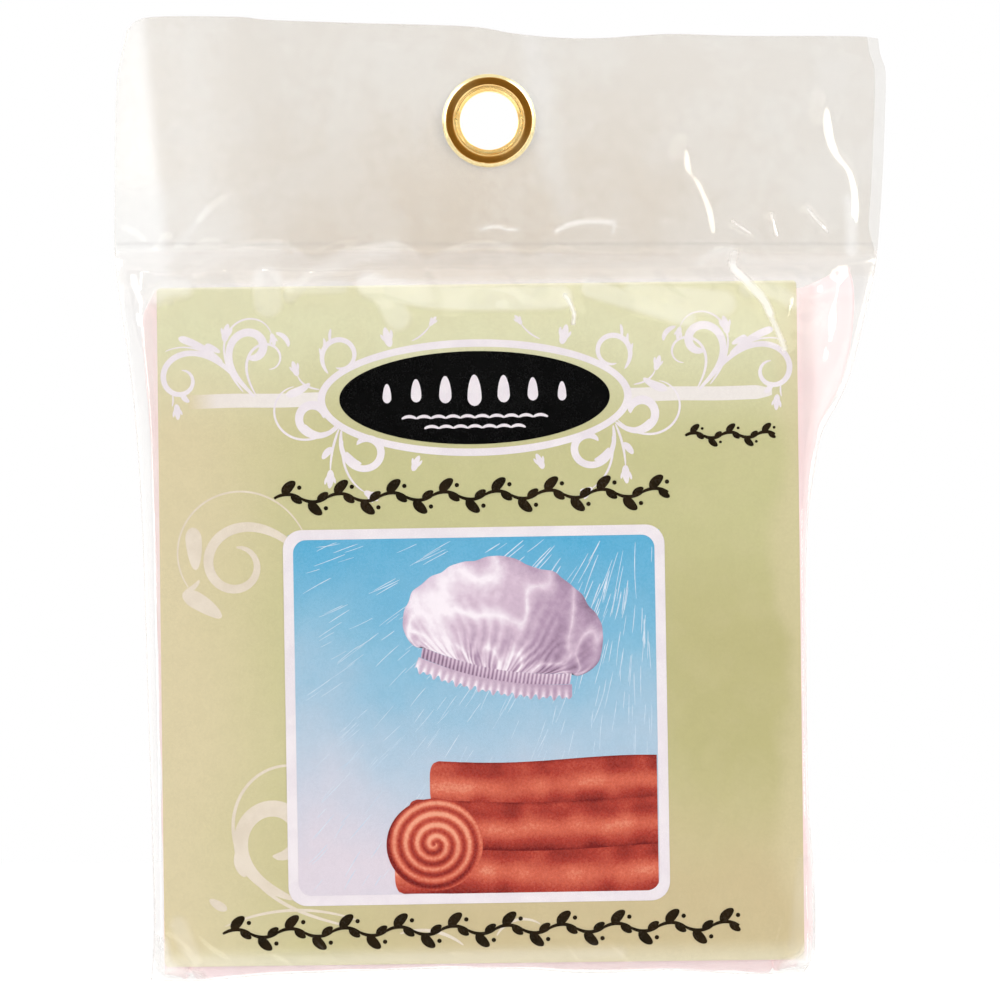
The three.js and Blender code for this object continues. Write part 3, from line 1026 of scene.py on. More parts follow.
# Crinkles of the front film, named by where they lie.
# Each path runs so that its left-hand side, seen from the front, is the flank that shines.
HEADER_HOOK = Fold(
    ((688, 132), (688, 166), (697, 180), (708, 204), (713, 226), (716, 250)), 1.5, 5.0
)
HEADER_BROOK = Fold(
    ((826, 88), (829, 130), (836, 152), (850, 172), (856, 204), (852, 250)), 1.9, 5.0
)
HEADER_TICKS = (
    Fold(((728, 222), (756, 238)), 0.8, 2.4),
    Fold(((772, 212), (779, 240)), 0.8, 2.4),
    Fold(((805, 204), (830, 232)), 0.9, 2.4),
    Fold(((188, 232), (206, 211), (228, 192)), 1.3, 4.0, 0.22),
    Fold(((484, 228), (500, 226), (517, 230)), 0.5, 1.8),
    Fold(((552, 232), (572, 224), (596, 220), (618, 224)), 0.7, 2.4),
)
LEFT_CORNER = (
    Fold(((114, 224), (132, 231), (146, 243), (150, 262)), 1.2, 3.0, 0.22),
    Fold(((148, 264), (156, 246), (168, 230)), 1.2, 3.0, 0.22),
    Fold(((168, 284), (182, 262), (205, 243), (222, 242)), 2.0, 4.0, 0.22),
    Fold(((186, 290), (206, 268), (232, 252), (262, 240)), 1.5, 4.0, 0.2),
    Fold(((116, 236), (126, 262), (134, 300), (140, 345)), 1.4, 3.0, 0.34),
    Fold(((162, 252), (150, 290), (146, 330)), 1.1, 3.0, 0.3),
)
CREASE_WAVES = (
    Fold(((216, 246), (240, 242), (280, 241), (300, 250)), 0.9, 2.4, 0.16),
    Fold(((294, 290), (322, 268), (350, 256), (384, 247)), 2.0, 4.0, 0.2),
    Fold(((352, 250), (386, 243), (412, 246)), 0.8, 2.4, 0.16),
    Fold(((436, 256), (456, 246), (482, 241), (508, 244)), 0.8, 2.4, 0.16),
    Fold(((540, 250), (556, 246), (580, 250)), 0.8, 2.4, 0.16),
    Fold(((640, 262), (656, 251), (680, 258)), 0.9, 2.4, 0.16),
)
RIGHT_LIGHTNING = Fold(
    (
        (735, 250), (731, 267), (743, 280), (756, 293), (764, 304), (771, 320), (778, 336),
        (785, 356),
    ),
    1.4, 6.0, 0.2, True,
)
RIGHT_CORNER = (
    Fold(((850, 232), (860, 246), (878, 256)), 1.2, 3.0, 0.16),
    Fold(((880, 262), (872, 320), (860, 356)), 0.8, 3.0, 0.34),
    Fold(((846, 262), (826, 284), (806, 296)), 1.2, 3.0, 0.12),
    Fold(((852, 268), (846, 310), (838, 362)), 1.6, 4.0, 0.14),
    Fold(((864, 290), (858, 330), (846, 384)), 0.9, 3.0, 0.34),
    Fold(((822, 300), (816, 346), (806, 402)), 1.2, 3.4, 0.1),
    Fold(((826, 300), (834, 350), (848, 400)), 0.9, 3.4, 0.12),
    Fold(((806, 270), (812, 256), (822, 246)), 0.9, 2.4, 0.2),
)
CARD_TICKS = (
    Fold(((565, 296), (572, 308), (577, 328)), 0.7, 3.0),
    Fold(((507, 300), (508, 322), (516, 336)), 0.4, 3.0),
    Fold(((582, 300), (590, 340), (596, 372)), 0.4, 3.0),
)
BOTTOM_CORNERS = (
    Fold(((140, 884), (150, 920), (166, 962)), 0.9, 3.0),
    Fold(((236, 962), (200, 936), (186, 900)), 0.7, 3.0),
    Fold(((196, 966), (186, 944), (160, 926)), 0.8, 3.0),
    Fold(((806, 838), (790, 880), (778, 932), (772, 962)), 1.0, 5.0),
)
FRONT_FOLDS = (
    HEADER_HOOK,
    HEADER_BROOK,
    RIGHT_LIGHTNING,
    *HEADER_TICKS,
    *LEFT_CORNER,
    *CREASE_WAVES,
    *RIGHT_CORNER,
    *CARD_TICKS,
    *BOTTOM_CORNERS,
)


@dataclass(frozen=True)
class PaintedHighlight:
    """A soft pale band or patch in the front film, along a path read off the photograph.

    It is a painted highlight, laid into the film's milk. Its width is half the band's, and white
    says how far its colour goes from tan to white.
    """

    pixels: Line
    width: float = 0.8
    soft: float = 1.3
    milk: float = 2.0
    white: float = 1.0

    def share(self, across: Array, up: Array) -> Array:
        """Gives how strong the painted highlight is at places, from 0 to 1."""
        path = curve_through([from_photo(pixel) for pixel in self.pixels], 4)
        return ease((self.width + self.soft - Track(path, across, up).away) / self.soft)


# Painted highlights over the hills under the crease and at the header's corner, where the folds
# catch the lights.
CREASE_HIGHLIGHTS = (
    PaintedHighlight(((170, 298), (196, 272), (232, 252), (276, 247)), 0.5, 1.6, 1.5, 0.55),
    PaintedHighlight(((290, 296), (320, 273), (352, 258), (394, 247)), 0.7, 1.5, 1.6, 0.55),
    PaintedHighlight(((196, 245), (250, 243), (284, 245), (300, 254)), 0.15, 0.7, 1.3, 0.4),
    PaintedHighlight(((340, 252), (372, 245), (404, 246), (420, 258)), 0.15, 0.7, 1.2, 0.4),
    PaintedHighlight(((430, 262), (448, 251), (480, 245), (508, 246)), 0.2, 0.8, 1.3, 0.3),
    PaintedHighlight(((118, 228), (134, 240), (146, 262), (150, 290)), 0.8, 1.8, 1.3, 0.8),
    PaintedHighlight(((206, 208), (186, 236), (166, 262)), 0.3, 1.2, 1.1, 0.8),
    PaintedHighlight(((700, 262), (716, 252), (732, 250)), 0.3, 1.0, 1.3, 0.6),
)
# Painted reflections of the top light: pale patches over the card's top, where the film stands off
# it.
CARD_HIGHLIGHTS = (
    PaintedHighlight(((156, 296), (166, 290), (184, 288)), 0.8, 2.4, 2.2),
    PaintedHighlight(((268, 282), (268, 292), (269, 303)), 2.0, 1.4, 1.5, 0.8),
    PaintedHighlight(((290, 288), (318, 289), (342, 288)), 0.5, 1.4, 1.1),
    PaintedHighlight(((370, 286), (386, 296), (398, 318)), 1.6, 1.6, 1.5),
    PaintedHighlight(((394, 292), (430, 297), (480, 299), (560, 298)), 1.6, 1.3, 1.8),
    PaintedHighlight(((590, 289), (630, 301), (686, 318)), 1.1, 1.3, 1.5),
    PaintedHighlight(((634, 296), (690, 301), (722, 304)), 1.6, 1.7, 1.3),
    PaintedHighlight(((746, 290), (770, 291), (792, 302)), 0.6, 1.8, 1.3),
)
# Painted highlights: solid white strokes along the folds that catch the lights.
HIGHLIGHT_STROKES = (
    PaintedHighlight(((735, 253), (732, 267), (744, 280), (756, 293), (764, 303), (769, 314)), 0.5, 0.4, 5.0),
    PaintedHighlight(((764, 303), (771, 320), (778, 336), (783, 350)), 0.3, 0.4, 3.6),
    PaintedHighlight(((565, 296), (570, 304), (574, 316), (573, 324)), 0.15, 0.35, 6.0),
    PaintedHighlight(((732, 220), (741, 226), (751, 233)), 0.05, 0.35, 5.0),
    PaintedHighlight(((772, 213), (774, 222), (777, 235)), 0.05, 0.35, 5.0),
    PaintedHighlight(((808, 208), (817, 219), (828, 231)), 0.08, 0.4, 4.0),
    PaintedHighlight(((481, 229), (496, 226), (506, 229), (518, 229)), 0.05, 0.4, 2.2),
    PaintedHighlight(((556, 231), (572, 223), (596, 221), (613, 222)), 0.1, 0.6, 1.9),
    PaintedHighlight(((613, 232), (616, 222)), 0.05, 0.35, 3.0),
    PaintedHighlight(((850, 200), (852, 224), (852, 250)), 0.5, 1.1, 1.7),
)
# Painted reflection of the floor along the foot, and painted highlights over the card's lower
# corners.
FOOT_HIGHLIGHTS = (
    PaintedHighlight(((165, 962), (300, 959), (480, 955), (620, 952)), 0.2, 1.8, 0.9, 0.8),
    PaintedHighlight(((180, 924), (188, 944), (196, 962)), 0.5, 1.8, 1.2, 0.8),
    PaintedHighlight(((160, 944), (164, 960), (176, 972), (198, 978)), 0.8, 1.6, 3.0),
    PaintedHighlight(((806, 862), (802, 900), (797, 944)), 0.9, 1.6, 0.7, 0.7),
    PaintedHighlight(((815, 936), (806, 956), (786, 968)), 0.8, 1.6, 3.0),
)
FRONT_HIGHLIGHTS = (*CREASE_HIGHLIGHTS, *CARD_HIGHLIGHTS, *HIGHLIGHT_STROKES, *FOOT_HIGHLIGHTS)


@dataclass
class Pouch:
    """The clear pouch: two films from header to foot, the weld at the crease and the side seam.

    Sizes are millimetres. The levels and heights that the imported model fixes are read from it.
    """

    thickness: float = 0.2
    half_gap: float = 0.2
    seat: float = 0.1
    # Outline: pairs of a height and how far out the edge is there.
    left_edge: Line = (
        (20, 64.2), (16, 65.0), (12, 65.9), (4, 66.8), (-12, 67.0), (-24, 67.0), (-34, 65.9),
        (-44, 64.4), (-58, 63.0), (-76, 62.0), (-104, 61.1), (-130, 60.3), (-146, 60.0),
        (-156, 61.0),
    )
    right_edge: Line = (
        (20, 69.4), (14, 70.0), (9, 71.0), (-2, 70.8), (-14, 70.2), (-26, 69.2), (-34, 67.5),
        (-44, 65.1), (-50, 62.8), (-55.5, 59.8), (-62, 58.4), (-72, 57.1), (-86, 56.8),
        (-120, 57.2), (-134, 58.1), (-147, 58.4), (-151, 57.4), (-156, 54.0),
    )
    top_edge: Line = (
        (-68, 14.8), (-64.8, 16.4), (-61, 18.5), (-46, 18.6), (-39, 18.0), (-25, 17.5), (-4, 16.9),
        (4, 15.7), (12, 14.9), (20, 14.8), (32, 15.5), (46, 15.2), (66, 15.1), (72, 14.2),
    )
    foot_edge: Line = (
        (-64, -153.4), (-54, -154.1), (-39, -152.9), (-24, -152.3), (-8, -151.8), (6, -151.9),
        (18, -152.6), (32, -152.1), (47, -152.8), (58, -152.2),
    )
    front_inset: float = 2.0
    # Where the films part under the crease, in pixels of the photograph.
    parting: Line = (
        (110, 252), (190, 247), (225, 243), (280, 241), (300, 251), (318, 256), (345, 247),
        (385, 243), (412, 250), (425, 259), (450, 251), (470, 244), (500, 243), (515, 249),
        (528, 255), (545, 251), (565, 252), (600, 259), (635, 260), (655, 254), (680, 259),
        (705, 260), (735, 250), (760, 257), (800, 260), (890, 250),
    )
    # A painted highlight: the streak down the header, in pixels of the photograph, where the film
    # is made less milky.
    highlight_band: Line = ((528, 20), (536, 70), (548, 130), (566, 206))
    # The card, which the films lie over.
    card_width: float = 114.0
    card_height: float = 121.0
    card_middle: tuple[float, float] = (-1.5, -89.9)
    card_tilt: float = math.radians(0.7)
    card_play: float = 2.0
    card_room: float = 0.4
    # How far the film stands off the card's top, and the height of its ridge, by pixels across.
    crown_bulge: Line = (
        (100, 0.6), (200, 0.8), (280, 1.4), (330, 1.1), (400, 1.7), (500, 2.0), (560, 1.6),
        (640, 2.2), (720, 2.6), (800, 2.9), (880, 2.6),
    )
    crown_ridge: Line = (
        (100, 304), (250, 308), (330, 300), (400, 316), (540, 312), (620, 314), (700, 332),
        (800, 336), (880, 330),
    )
    margin_milk: float = 0.5
    eyelet_hole: float = 5.85
    crease: float = field(init=False)
    weld_reach: float = field(init=False)
    levels: dict[Side, float] = field(init=False)

    def __post_init__(self) -> None:
        """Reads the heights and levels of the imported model."""
        low, high = node_box("crease_weld")
        self.crease = float((low[2] + high[2]) / 2)
        self.weld_reach = float((node_box("header_front_film")[0][2]) - self.crease)
        front = float(-node_box("pouch_front_film")[0][1])
        back = float(node_box("pouch_back_film")[1][1])
        self.levels = {Side.FRONT: front, Side.BACK: back}

    def rows(self) -> Array:
        """Gives the heights of the rows of points, closest at the crease and the foot.

        Returns:
            Z of each row, from the top down.
        """
        stretches = (
            (17.0, -19.0, 0.5), (-19.0, -24.0, 0.2), (-24.0, -52.0, 0.36), (-52.0, -147.0, 0.66),
            (-147.0, -151.5, 0.35), (-151.5, -152.5, 0.07),
        )
        runs = []
        for start, end, step in stretches:
            runs.append(np.linspace(start, end, round(abs(end - start) / step), endpoint=False))
        return np.concatenate([*runs, [-152.5]])

    def shares(self, side: Side) -> Array:
        """Gives the columns as shares of the width, closest at the two edges.

        Args:
            side: which film; the front one is finer.

        Returns:
            The shares, from 0 at the left to 1.
        """
        near = 0.045 * (1 - np.cos(np.linspace(0, np.pi / 2, 16)))
        middle = np.linspace(near[-1], 1 - near[-1], 330 if side is Side.FRONT else 200)
        return np.concatenate([near[:-1], middle, 1 - near[:-1][::-1]])

    def places(self, side: Side) -> tuple[Array, Array]:
        """Lays the grid of points inside the pouch's outline.

        Args:
            side: which film.

        Returns:
            X and Z of each point, a line for each row.
        """
        rows, shares = self.rows(), self.shares(side)
        left = -reading(self.left_edge)(rows)
        right = reading(self.right_edge)(rows)
        if side is Side.FRONT:
            right = right - self.front_inset * ease((rows - self.crease + 4) / 8)
        across = left[:, None] + (right - left)[:, None] * shares
        up = np.repeat(rows[:, None], len(shares), axis=1)
        top = reading(self.top_edge)(across) - rows[0]
        foot = reading(self.foot_edge)(across) - rows[-1]
        up = up + top * ease((up - 7.0) / (rows[0] - 7.0)) + foot * ease((-147 - up) / 5.5)
        return self.round_hole(across, up)

    def round_hole(self, across: Array, up: Array) -> tuple[Array, Array]:
        """Draws the points round the eyelet outwards, to make room for its barrel.

        Args:
            across: X of each point.
            up: Z of each point.

        Returns:
            X and Z of each point, moved.
        """
        away = np.hypot(across, up)
        core, rim = 2.0, 9.5
        share = np.clip((away - core) / (rim - core), 0, None)
        moved = np.where(away < rim, self.eyelet_hole + (rim - self.eyelet_hole) * share, away)
        ratio = moved / np.maximum(away, 1e-6)
        return across * ratio, up * ratio

    def in_card(self, across: Array, up: Array) -> tuple[Array, Array]:
        """Gives places in the card's own tilted frame.

        Args:
            across: X of each place.
            up: Z of each place.

        Returns:
            How far right of and above the card's middle each place is.
        """
        x, z = across - self.card_middle[0], up - self.card_middle[1]
        cos, sin = math.cos(self.card_tilt), math.sin(self.card_tilt)
        return x * cos + z * sin, z * cos - x * sin

    def slope_start(self, across: Array) -> Array:
        """Gives how high the films part under the crease, never above the weld."""
        line = reading([from_photo(pixel) for pixel in self.parting])(across)
        return np.minimum(self.crease - self.weld_reach, line)

    def fill(self, across: Array, up: Array, foot: Array) -> Array:
        """Gives how full the pouch is: 1 over the card, 0 at its seam and at the crease.

        Args:
            across: X of each point.
            up: Z of each point.
            foot: Z of the pouch's foot under each point.

        Returns:
            The share of the pouch's full depth.
        """
        right, above = self.in_card(across, up)
        half = self.card_width / 2 + self.card_room
        left_edge, right_edge = across[:, :1], across[:, -1:]
        left_room = np.maximum(np.maximum(right_edge * 0, -half - right + across - left_edge), 0.2)
        right_room = np.maximum(right_edge - (across - (right - half)), 0.2)
        out_left = np.clip((-half - right) / left_room, 0, 1)
        out_right = np.clip((right - half) / right_room, 0, 1)
        sides = np.sqrt(1 - out_left**2) * np.sqrt(1 - out_right**2)
        shoulder = self.card_height / 2 + self.card_play + 0.35
        weld = self.crease - self.weld_reach
        start = weld + 0.3 * (self.slope_start(across) - weld)
        relief = 0.3 + 0.3 * SoftNoise(61).at(across, 0 * up, 8.0)
        card_shoulder = up - above + shoulder + np.clip(relief, 0, 1)
        rise = ease((start - up) / np.maximum(start - card_shoulder, 0.5))
        flat_foot = up - above - self.card_height / 2 - 0.3
        under = np.clip((flat_foot - up) / np.maximum(flat_foot - foot, 0.3), 0, 1)
        return sides * rise * np.sqrt(1 - under**2)

    def header_wave(self, across: Array, up: Array) -> Array:
        """Gives the slow waves that both header films share.

        Args:
            across: X of each point.
            up: Z of each point.

        Returns:
            How far the pair stands off the pouch's middle plane.
        """
        noise = SoftNoise(11)
        wave = 0.8 * noise.at(across + 0.4 * up, up, 31.0, 44.0)
        wave += 0.35 * noise.at(across - 0.5 * up, up + 90, 13.0, 30.0)
        calm = ease((np.hypot(across, up) - 10.5) / 14.0)
        return wave * calm * ease((up - self.crease - 1.2) / 9.0)

    def crinkles(self, side: Side, across: Array, up: Array, fill: Array) -> Array:
        """Gives how far crinkles lift a film off the form under it.

        Args:
            side: which film.
            across: X of each point.
            up: Z of each point.
            fill: how full the pouch is at each point.

        Returns:
            The lift in millimetres, never inwards over the card.
        """
        noise = SoftNoise(23 if side is Side.FRONT else 37)
        right, above = self.in_card(across, up)
        below = self.crease - up
        pouch = ease((below - self.weld_reach) / 3.0)
        slope = pouch * ease((13.0 - below) / 8.0)
        lift = 0.8 * slope * (0.5 + 0.5 * noise.at(across, up, 6.5, 14.0))
        lift += 0.3 * slope * noise.creases(across + 0.5 * up, up, 7.0, 9.0)
        pixel = EYELET_PIXEL[0] + across * PIXELS_PER_MM
        ridge = (reading(self.crown_ridge)(pixel) - EYELET_PIXEL[1]) / PIXELS_PER_MM
        ridge = ridge + self.crease + 1.8
        spread = np.where(below < ridge, 6.0, 12.0)
        top = pouch * np.exp(-0.5 * ((below - ridge) / spread) ** 2)
        uneven = 1 + 0.15 * noise.at(across, up + 40, 12.0, 60.0)
        lift += reading(self.crown_bulge)(pixel) * uneven * top
        shoulder = ease((right - 52) / 6) * pouch * ease((52 - below) / 26)
        lift += 0.7 * shoulder * noise.creases(across, up + 200, 5.0, 26.0)
        lift += 0.3 * shoulder * noise.creases(across + up * 0.6, up, 6.0, 10.0)
        left = ease((-right - 55) / 5) * pouch
        lift += 0.5 * left * noise.creases(across, up, 4.2, 30.0)
        foot = ease((below - 112) / 16)
        lift += 0.28 * foot * noise.creases(across + 0.7 * up, up, 6.5, 8.0)
        lift += 0.16 * pouch * noise.creases(across, up + 330, 17.0, 46.0)
        lift += 0.06 * pouch * (1 + noise.at(across, up, 3.4, 8.0))
        header = ease((up - self.crease) / 6.0) * ease((np.hypot(across, up) - 10.0) / 6.0)
        lift += 0.1 * header * (1 + noise.at(across, up + 70, 5.0, 16.0))
        lift = lift * np.where(below > self.weld_reach, np.clip(fill * 3.0, 0, 1), 1)
        if side is Side.FRONT:
            inside = ease((np.hypot(across, up) - 10.0) / 4.0)
            edge = np.minimum(across - across[:, :1], across[:, -1:] - across)
            edge = np.clip(edge / 2.5, 0, 1)
            for fold in FRONT_FOLDS:
                lift = lift + (fold.press(across, up, lift) - lift) * inside * edge
        return lift

    def film(self, side: Side) -> Object:
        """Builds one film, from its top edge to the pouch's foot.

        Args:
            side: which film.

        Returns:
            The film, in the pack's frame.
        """
        across, up = self.places(side)
        foot = np.repeat(up[-1:], len(up), axis=0)
        fill = self.fill(across, up, foot)
        seam = self.half_gap + self.thickness
        level = seam + (self.levels[side] - seam) * fill
        level = level + self.crinkles(side, across, up, fill)
        y = side.value * level + self.header_wave(across, up)
        points = np.stack([across, y, up], -1).reshape(-1, 3)
        rows, columns = across.shape
        quads = grid_quads(rows, columns)
        if side is Side.BACK:
            quads = quads[:, ::-1]
        start = np.hypot(across, up).reshape(-1)
        hole = (start[quads] < self.eyelet_hole + 1e-4).any(1)
        points, faces = shell(points, quads[~hole], self.thickness)
        name = "front_film" if side is Side.FRONT else "back_film"
        made = piece(name, points, faces, FILM, 60.0)
        mark(made, "milk", self.milk(side, points[:, 0], points[:, 2]))
        mark(made, "highlight_white", self.highlight_white(side, points[:, 0], points[:, 2]))
        word = side.name.lower()
        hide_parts(f"header_{word}_film", f"pouch_{word}_film")
        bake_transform(made)
        return made

    def milk(self, side: Side, across: Array, up: Array) -> Array:
        """Gives how milky the film looks.

        Args:
            side: which film.
            across: X of each point.
            up: Z of each point.

        Returns:
            The share of the header's full milkiness.
        """
        low = np.exp(-(((across + 2) / 46) ** 2) - ((up + 19) / 19) ** 2)
        header = 1.2 * (1.0 + 0.95 * low - 0.12 * ease((across - 34) / 22))
        # Painted highlight: the film is less milky along the streak down the header.
        band = Track(curve_through([from_photo(pixel) for pixel in self.highlight_band], 5), across, up)
        header = header * (1 - 0.3 * np.exp(-0.5 * (band.away / 2.0) ** 2))
        # Painted highlight: the header's white left edge gets extra milk.
        strip = self.highlight_white(Side.BACK, across, up)
        header = header + 0.9 * strip * ease((self.crease - up + 8) / -6)
        parted = ease((self.slope_start(across) - up + 0.4) / 1.2)
        header = header * (1 - 0.15 * parted)
        right, above = self.in_card(across, up)
        past = self.card_height / 2 - above
        beside = ease((np.abs(right) - self.card_width / 2) / 1.2) * ease(past / 4.0)
        margin = self.margin_milk * np.maximum(beside, ease((past - self.card_height) / 0.5))
        if side is Side.BACK:
            return np.maximum(header + (0.15 - header) * ease((past - 1) / 6.0), margin)
        front = header + (0.3 - header) * ease((past + 1.4) / 1.4) - 0.3 * ease(past / 9.0)
        front = np.maximum(front, margin)
        # Painted highlights and reflections, laid in as extra milk.
        for highlight in FRONT_HIGHLIGHTS:
            front = np.maximum(front, highlight.milk * highlight.share(across, up))
        return front

    @staticmethod
    def highlight_white(side: Side, across: Array, up: Array) -> Array:
        """Gives how white the milkiness is: a painted highlight along the header's left edge,
        whiter milk over the film's left side, and whitest in the painted highlights.

        Args:
            side: which film.
            across: X of each point.
            up: Z of each point.

        Returns:
            The share, from 0 to 1.
        """
        # Painted highlight: a white strip down the header's left edge, and paler milk over the left
        # side.
        lean = across + 0.1 * (up - 10)
        strip = ease((-59.5 - lean) / 3.0)
        left = 0.42 * ease((-38 - lean) / 18.0) * (1 - 0.5 * ease((-22 - up) / 5.0))
        white = np.clip(0.58 * strip + left, 0, 1)
        if side is Side.FRONT:
            # The painted highlights are whitened as well.
            for highlight in FRONT_HIGHLIGHTS:
                white = np.maximum(white, highlight.white * highlight.share(across, up))
        return white

    def weld(self) -> Object:
        """Builds the weld that closes the pouch along the crease.

        Returns:
            A flat bead between the films, pressed with the tool's ribs.
        """
        low, high = node_box("crease_weld")
        steps = 260
        across = np.linspace(low[0] + 0.2, high[0] - 0.2, steps)
        turn = np.linspace(0, 2 * np.pi, 14, endpoint=False)
        half_height, half_depth = 0.3, 0.15
        rib = 1 + 0.1 * np.sin(across / 0.9 * 2 * np.pi)
        x = np.repeat(across[:, None], len(turn), axis=1)
        y = half_depth * rib[:, None] * np.sign(np.sin(turn)) * np.abs(np.sin(turn)) ** 0.6
        z = self.crease + half_height * np.sign(np.cos(turn)) * np.abs(np.cos(turn)) ** 0.6 + 0 * x
        points = np.stack([x, y, z], -1).reshape(-1, 3)
        quads = grid_quads(steps, len(turn), closed=True).tolist()
        first = list(range(len(turn)))
        last = [len(points) - 1 - corner for corner in first]
        made = piece("crease_bead", points, [*quads, first, last], WELD, 60.0)
        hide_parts("crease_weld")
        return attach(made, "header")

    def seam(self) -> Object:
        """Builds the side seam: down the left edge, along the foot and up the right edge.

        Returns:
            A thin fused strip between the films.
        """
        across, up = self.places(Side.BACK)
        start = int(np.argmax(up[:, 0] < self.crease - self.weld_reach - 0.2))
        outer = np.vstack([
            np.stack([across[start:, 0], up[start:, 0]], 1),
            np.stack([across[-1, 1:-1], up[-1, 1:-1]], 1),
            np.stack([across[start:, -1], up[start:, -1]], 1)[::-1],
        ])
        way = np.gradient(outer, axis=0)
        way /= np.maximum(np.linalg.norm(way, axis=1, keepdims=True), 1e-9)
        inward = np.stack([-way[:, 1], way[:, 0]], 1)
        steps = np.linspace(0.03, 0.28, 4)
        strip = outer[:, None] + inward[:, None] * steps[:, None]
        half = self.half_gap - self.seat
        along = np.arange(len(outer))[:, None]
        ripple = half * (0.75 + 0.25 * np.sin(along * 1.9 + steps))
        points = np.stack([strip[..., 0], -ripple, strip[..., 1]], -1).reshape(-1, 3)
        quads = grid_quads(len(outer), len(steps))
        facing = point_normals(points, quads)[:, 1].mean()
        quads = quads if facing < 0 else quads[:, ::-1]
        points, faces = shell(points, quads, 2 * half * 0.8)
        made = piece("side_seam", points, faces, SEAM, 60.0)
        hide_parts("edge_weld")
        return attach(made, "pouch")

    def build(self) -> list[Object]:
        """Builds every piece of the pouch."""
        return [self.film(Side.FRONT), self.film(Side.BACK), self.weld(), self.seam()]


# The eyelet


@dataclass
class Eyelet:
    """The brass eyelet: a barrel rolled over a washer, turned from fine profiles in millimetres."""

    hole: float = 5.2
    wall: float = 0.4
    flange: float = 3.15
    dome: float = 1.5
    lip_reach: float = 1.1
    lip_height: float = 0.75
    film_face: float = 0.5
    washer_height: float = 0.85
    washer_metal: float = 0.35
    underlap: float = 0.25
    bore_clearance: float = 0.15
    segments: int = 144
    # Painted light on the front, by the distance from the hole: 1 a pale painted highlight, -1 a
    # brown painted dark reflection.
    painted_light: Line = (
        (0.0, 0.2), (0.6, 0.1), (0.7, -0.1), (0.8, 0.1), (1.16, 0.35), (1.3, -1.0),
        (2.44, -1.0), (2.56, 0.9), (3.2, 1.0),
    )

    def turned(self, name: str, profile: list[Pair], finish: Finish, ripple: float) -> Object:
        """Turns a closed profile about the eyelet's axis.

        Args:
            name: the piece's name.
            profile: radius and Y of its points.
            finish: the metal.
            ripple: how far the stamping leaves the metal out of true.

        Returns:
            The piece, on the header.
        """
        outline = np.array(profile, float)
        area = np.sum(np.cross(outline, np.roll(outline, -1, axis=0)))
        outline = outline if area < 0 else outline[::-1]
        angle = np.linspace(0, 2 * np.pi, self.segments, endpoint=False)
        noise = SoftNoise(5)
        radius = outline[:, 0] + 0 * angle[:, None]
        wobble = ripple * noise.at(np.cos(angle) * 4 + 50, np.sin(angle) * 4 + 50, 1.3)
        outward = np.clip((radius - self.hole) / self.flange, 0, 1)
        radius = radius + wobble[:, None] * outward
        y = outline[:, 1] + wobble[:, None] * outward * 0.5
        points = np.stack([radius * np.cos(angle)[:, None], y, radius * np.sin(angle)[:, None]], -1)
        quads = grid_quads(self.segments + 1, len(outline), closed=True) % radius.size
        made = piece(name, points.reshape(-1, 3), quads, finish, 42.0)
        painted_light = reading(self.painted_light)(radius - self.hole)
        # The painted dark reflection is weaker towards the upper left and the lower right.
        golden = (0.5 + 0.5 * np.cos(2 * angle[:, None] + np.pi / 2)) ** 2
        painted_light = np.where(painted_light < 0, painted_light * (1 - 0.42 * golden), painted_light)
        mark(made, "painted_light", np.where(y < 0, painted_light, 0).reshape(-1))
        return made

    @staticmethod
    def arc(centre: Pair, radii: Pair, start: float, end: float, steps: int) -> list[Pair]:
        """Lays the points of an elliptical arc of a profile.

        Args:
            centre: middle of the arc, as distance from the axis and Y.
            radii: half sizes of its ellipse along the two.
            start: angle of the first point, in degrees.
            end: angle of the last point, in degrees.
            steps: number of steps between them.

        Returns:
            The points, one pair each.
        """
        turn = np.radians(np.linspace(start, end, steps + 1))[:, None]
        way = np.hstack([np.cos(turn), np.sin(turn)])
        return [tuple(point) for point in np.array(centre) + np.array(radii) * way]

    def hole_and(self, *points: Pair) -> Array:
        """Gives points of a profile from their distance outside the hole, and their Y."""
        return np.array(points) + (self.hole, 0)

    def barrel(self) -> Object:
        """Builds the barrel with its rolled front flange and clinched lip.

        Returns:
            The barrel, on the header.
        """
        seat = -self.film_face
        bore = self.hole + self.wall
        lip_y = self.film_face + self.washer_height + 0.1
        lip = (bore + self.lip_reach / 2, lip_y)
        edge = (self.hole + self.flange - 0.14, seat - 0.1)
        crest = seat - self.dome
        corners = self.hole_and(
            (0, seat + 0.3), (0.02, seat - 0.33), (0.1, seat - 0.48), (0.58, seat - 0.9),
            (0.69, seat - 0.93), (1.14, crest + 0.13), (1.26, crest + 0.03), (1.38, crest),
            (1.9, crest - 0.02), (2.42, crest - 0.02), (2.52, crest + 0.05), (2.6, crest + 0.24),
            (2.98, crest + 1.12), (self.flange - 0.04, crest + 1.3), (self.flange, seat - 0.1),
        )
        front = [tuple(corners[0])]
        for start, end in zip(corners, corners[1:]):
            for share in (0.12, 0.88, 1.0):
                front.append(tuple(start + (end - start) * share))
        profile = [
            *front,
            *self.arc(edge, (0.14, 0.1), 0, 90, 3)[1:],
            (bore + 0.1, seat),
            (bore, seat + 0.1),
            (bore, lip_y),
            *self.arc(lip, (self.lip_reach / 2, self.lip_height), 0, 130, 10),
            (self.hole + 0.1, lip_y + 0.35),
            (self.hole, lip_y),
        ]
        made = self.turned("eyelet_barrel_fine", profile, BRASS, 0.03)
        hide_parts("eyelet_barrel")
        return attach(made, "header")

